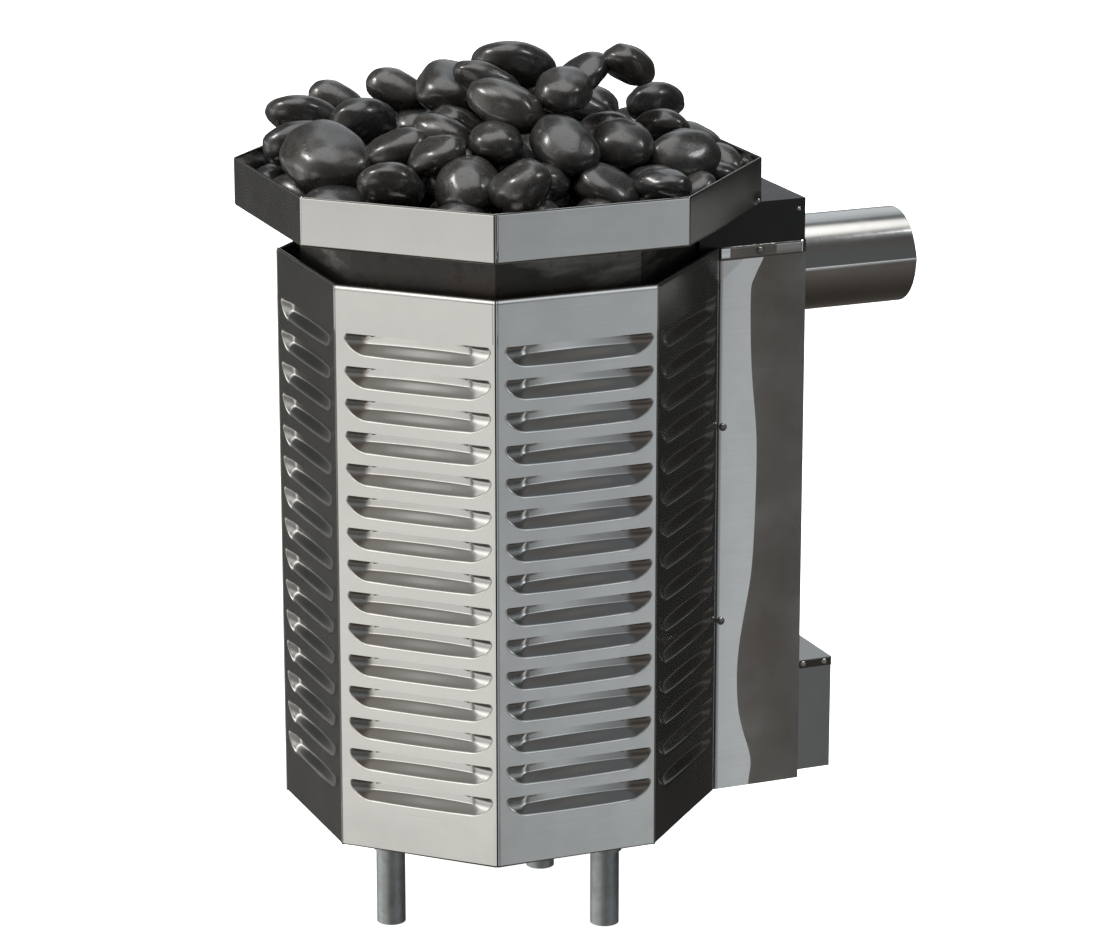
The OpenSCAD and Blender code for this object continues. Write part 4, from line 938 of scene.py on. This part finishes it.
# Stage
def stage_world():
    """Light by direction: softboxes left of the camera and overhead, small ones right and behind"""
    world = bpy.data.worlds.new("studio")
    bpy.context.scene.world = world
    f = Finish("studio", world)
    x, y, z = f.coordinates()
    turn = y.math("ARCTAN2", y, x) / math.tau + 0.5
    rise = z * 0.5 + 0.5
    cream, brown, slate = (1.0, 0.985, 0.95), (1.0, 0.88, 0.78), (0.92, 0.98, 1.03)
    # Stops of azimuth in degrees, brightness and hue: near the horizon up to 34, past 34, and high up
    low = [(-180, 0.075, cream), (-150, 0.075, cream), (-146, 0.9, cream), (-139, 0.9, cream),
           (-135, 0.2, cream), (-127, 0.2, cream), (-122, 1.7, cream), (-110, 1.7, cream),
           (-105, 0.4, cream), (-101, 0.75, cream), (-90, 0.75, cream), (-87, 0.12, cream),
           (-83, 0.12, cream), (-77, 0.92, cream), (-60, 0.92, cream), (-54, 0.6, cream),
           (-49, 0.45, brown), (-44, 0.07, slate), (-34, 0.07, slate), (-10, 0.045, brown),
           (0, 0.075, brown), (13, 0.22, slate), (20, 0.34, slate), (24, 0.64, slate),
           (27, 0.60, slate), (29.5, 0.09, brown), (34, 0.085, brown)]
    back = [(34, 0.085, slate), (38, 0.085, slate), (39.5, 0.8, slate), (44, 0.8, slate),
            (46, 0.03, slate), (70, 0.033, cream), (83, 0.028, cream), (86, 0.05, cream),
            (90, 0.025, cream), (112, 0.019, cream), (150, 0.05, cream), (179.9, 0.075, cream)]
    high = [(-180, 0.05, slate), (-140, 0.06, cream), (-128, 0.5, cream), (-112, 1.2, cream),
            (-96, 0.9, cream), (-80, 0.30, cream), (-60, 0.22, brown), (-40, 0.07, brown),
            (-20, 0.06, brown), (8, 0.09, slate), (16, 0.13, slate), (30, 0.13, slate),
            (34, 0.12, brown), (40, 0.07, slate), (66, 0.03, brown), (112, 0.018, cream),
            (132, 0.12, slate), (146, 0.8, slate), (157, 0.8, slate), (168, 0.06, slate),
            (179.9, 0.05, brown)]

    def turn_at(azimuth):
        return (azimuth + 180) / 360

    def azimuth_tones(stops):
        return f.ramp(turn, *[(turn_at(azimuth), tint(hue, tone)) for azimuth, tone, hue in stops])

    behind = f.ramp(turn, (turn_at(33.9), 0.0), (turn_at(34), 1.0))
    band = f.ramp(rise, (0.33, 0.74), (0.38, 0.66), (0.42, 0.53), (0.445, 0.53), (0.465, 1.0), (0.485, 1.5),
                  (0.53, 1.5), (0.55, 1.0))
    lifted = f.mix(1.0, f.mix(behind, azimuth_tones(low), azimuth_tones(back)), band * 1.5, "MULTIPLY")
    upper = f.mix(1.0, azimuth_tones(high), f.ramp(rise, (0.85, 0.5), (0.925, 1.0)) * 2, "MULTIPLY")
    around = f.mix(f.ramp(rise, (0.535, 0.0), (0.60, 1.0)), lifted, upper)
    below = f.ramp(rise, (0.05, tint(brown, 0.05)), (0.25, tint(brown, 0.115)))
    around = f.mix(f.ramp(rise, (0.25, 1.0), (0.325, 0.0)), around, below)
    above = f.ramp(z, (0.0, (0.4, 0.39, 0.37)), (0.86, (1.4, 1.39, 1.36)), (0.93, 2.2), (1.0, 2.2))
    lit = f.mix(f.ramp(rise, (0.93, 0.0), (0.945, 1.0)), around, above)
    shown = f.mix(f.node("ShaderNodeLightPath", out="Is Camera Ray"), lit, 1.0)
    f.end(f.node("ShaderNodeBackground", inputs={"Color": shown, "Strength": 1.0}), "ShaderNodeOutputWorld")


def stage_floor():
    """A white floor that the camera sees and the metal doesn't reflect"""
    reach, below = 30, -0.0004
    sheet = Sheet()
    corners = ((-reach, -reach), (reach, -reach), (reach, reach), (-reach, reach))
    sheet.face(*[(x, y, below) for x, y in corners])
    floor = sheet.build("studio_floor")
    f = Finish("pale_floor")
    diffuse = f.node("ShaderNodeBsdfDiffuse", inputs={"Color": (0.9, 0.9, 0.9, 1)})
    glow = f.node("ShaderNodeEmission", inputs={"Color": (1, 1, 1, 1), "Strength": 1.0})
    floor.data.materials.append(f.end(f.node("ShaderNodeAddShader", inputs=[diffuse, glow])))
    floor.visible_glossy = floor.visible_shadow = floor.visible_diffuse = False


def area_light(name, place, target, size, energy, colour=(1, 1, 1)):
    light = bpy.data.lights.new(name, "AREA")
    light.shape, light.size, light.size_y = "RECTANGLE", size[0], size[1]
    light.energy, light.color = energy, colour
    made = added(name, light)
    made.location = place
    made.rotation_mode = "QUATERNION"
    made.rotation_quaternion = (Vector(target) - Vector(place)).to_track_quat("-Z", "Y")
    made.visible_camera = False


def stage_camera():
    data = bpy.data.cameras.new("camera")
    data.lens, data.sensor_width, data.sensor_fit = 138.4, 36, "HORIZONTAL"
    data.clip_start, data.clip_end = 0.1, 100
    camera = added("camera", data)
    camera.location = (3.8097, -1.6180, 1.6464)
    camera.rotation_mode = "QUATERNION"
    aim = Vector((-0.8881, 0.3668, -0.2771)).to_track_quat("-Z", "Y")
    roll = math.radians(-0.03)
    camera.rotation_quaternion = aim @ Matrix.Rotation(roll, 3, "Z").to_quaternion()
    bpy.context.scene.camera = camera
    bpy.context.scene.view_settings.view_transform = "Standard"


class HEATER_OT_stage(bpy.types.Operator):
    """Makes the camera, the floor and the studio light"""
    bl_idname = "heater.stage"
    bl_label = "Stage"

    def execute(self, context):
        stage_camera()
        stage_floor()
        stage_world()
        area_light("key_softbox", (-0.9, -2.4, 3.4), (0, -0.1, 0.8), (0.8, 0.8), 45, (1, 0.98, 0.95))
        area_light("side_softbox", (1.0, 2.2, 3.2), (0, -0.1, 0.8), (0.6, 0.6), 14, (0.95, 0.98, 1))
        area_light("low_card", (-0.75, 2.0, 0.22), (0.15, 0.08, 0.765), (1.2, 0.16), 0.08)
        return {"FINISHED"}


class HEATER_OT_body(bpy.types.Operator):
    """Makes the seven louvred panels"""
    bl_idname = "heater.body"
    bl_label = "Louvred body"

    def execute(self, context):
        for name, (turns, left_edge, right_edge) in PANELS.items():
            louvred_panel(name, turns, left_edge, right_edge)
        return {"FINISHED"}


class HEATER_OT_tray(bpy.types.Operator):
    """Makes the rock tray and its rivet"""
    bl_idname = "heater.tray"
    bl_label = "Rock tray"

    def execute(self, context):
        rock_tray()
        tray_rivet()
        return {"FINISHED"}


class HEATER_OT_stones(bpy.types.Operator):
    """Makes the heap of stones"""
    bl_idname = "heater.stones"
    bl_label = "Stones"

    def execute(self, context):
        for node, detail in (("stones_bottom", 3), ("stones_rim", 4), ("stones_middle", 3),
                             ("stones_slope", 4), ("stones_crown", 4)):
            stone_heap(node, detail)
        return {"FINISHED"}


class HEATER_OT_flue(bpy.types.Operator):
    """Makes the flue pipe, the side covers and the small fasteners"""
    bl_idname = "heater.flue"
    bl_label = "Flue"

    def execute(self, context):
        flue_pipe()
        side_cover("side_cover_right", 1)
        side_cover("side_cover_left", -1)
        heads("cover_screws", "cover_screw_heads", "screw", True, "dark_screw")
        heads("control_screws", "control_screw_heads", "screw", True)
        heads("hood_rivets", "hood_rivet_heads", "black_paint", False, "screw")
        return {"FINISHED"}


class HEATER_OT_frame_nodes(bpy.types.Operator):
    """Gives the remaining parts their finishes"""
    bl_idname = "heater.frame_nodes"
    bl_label = "Remaining parts"

    def execute(self, context):
        dress_frame_nodes()
        return {"FINISHED"}


class HEATER_PT_panel(bpy.types.Panel):
    bl_label = "Sauna heater"
    bl_idname = "HEATER_PT_panel"
    bl_space_type = "VIEW_3D"
    bl_region_type = "UI"
    bl_category = "Heater"

    def draw(self, context):
        for made in OPERATORS:
            self.layout.operator(made.bl_idname)


OPERATORS = (HEATER_OT_stage, HEATER_OT_body, HEATER_OT_tray, HEATER_OT_stones, HEATER_OT_flue,
             HEATER_OT_frame_nodes)
CLASSES = (BodySettings, TraySettings, StoneSettings, FinishSettings, HeaterSettings, *OPERATORS,
           HEATER_PT_panel)


def register():
    for made in CLASSES:
        bpy.utils.register_class(made)
    bpy.types.Scene.sauna_heater = PointerProperty(type=HeaterSettings)


def unregister():
    del bpy.types.Scene.sauna_heater
    for made in reversed(CLASSES):
        bpy.utils.unregister_class(made)


def main():
    register()
    bpy.ops.heater.stage()
    bpy.ops.heater.body()
    bpy.ops.heater.tray()
    bpy.ops.heater.stones()
    bpy.ops.heater.flue()
    bpy.ops.heater.frame_nodes()


if __name__ == "__main__":
    main()
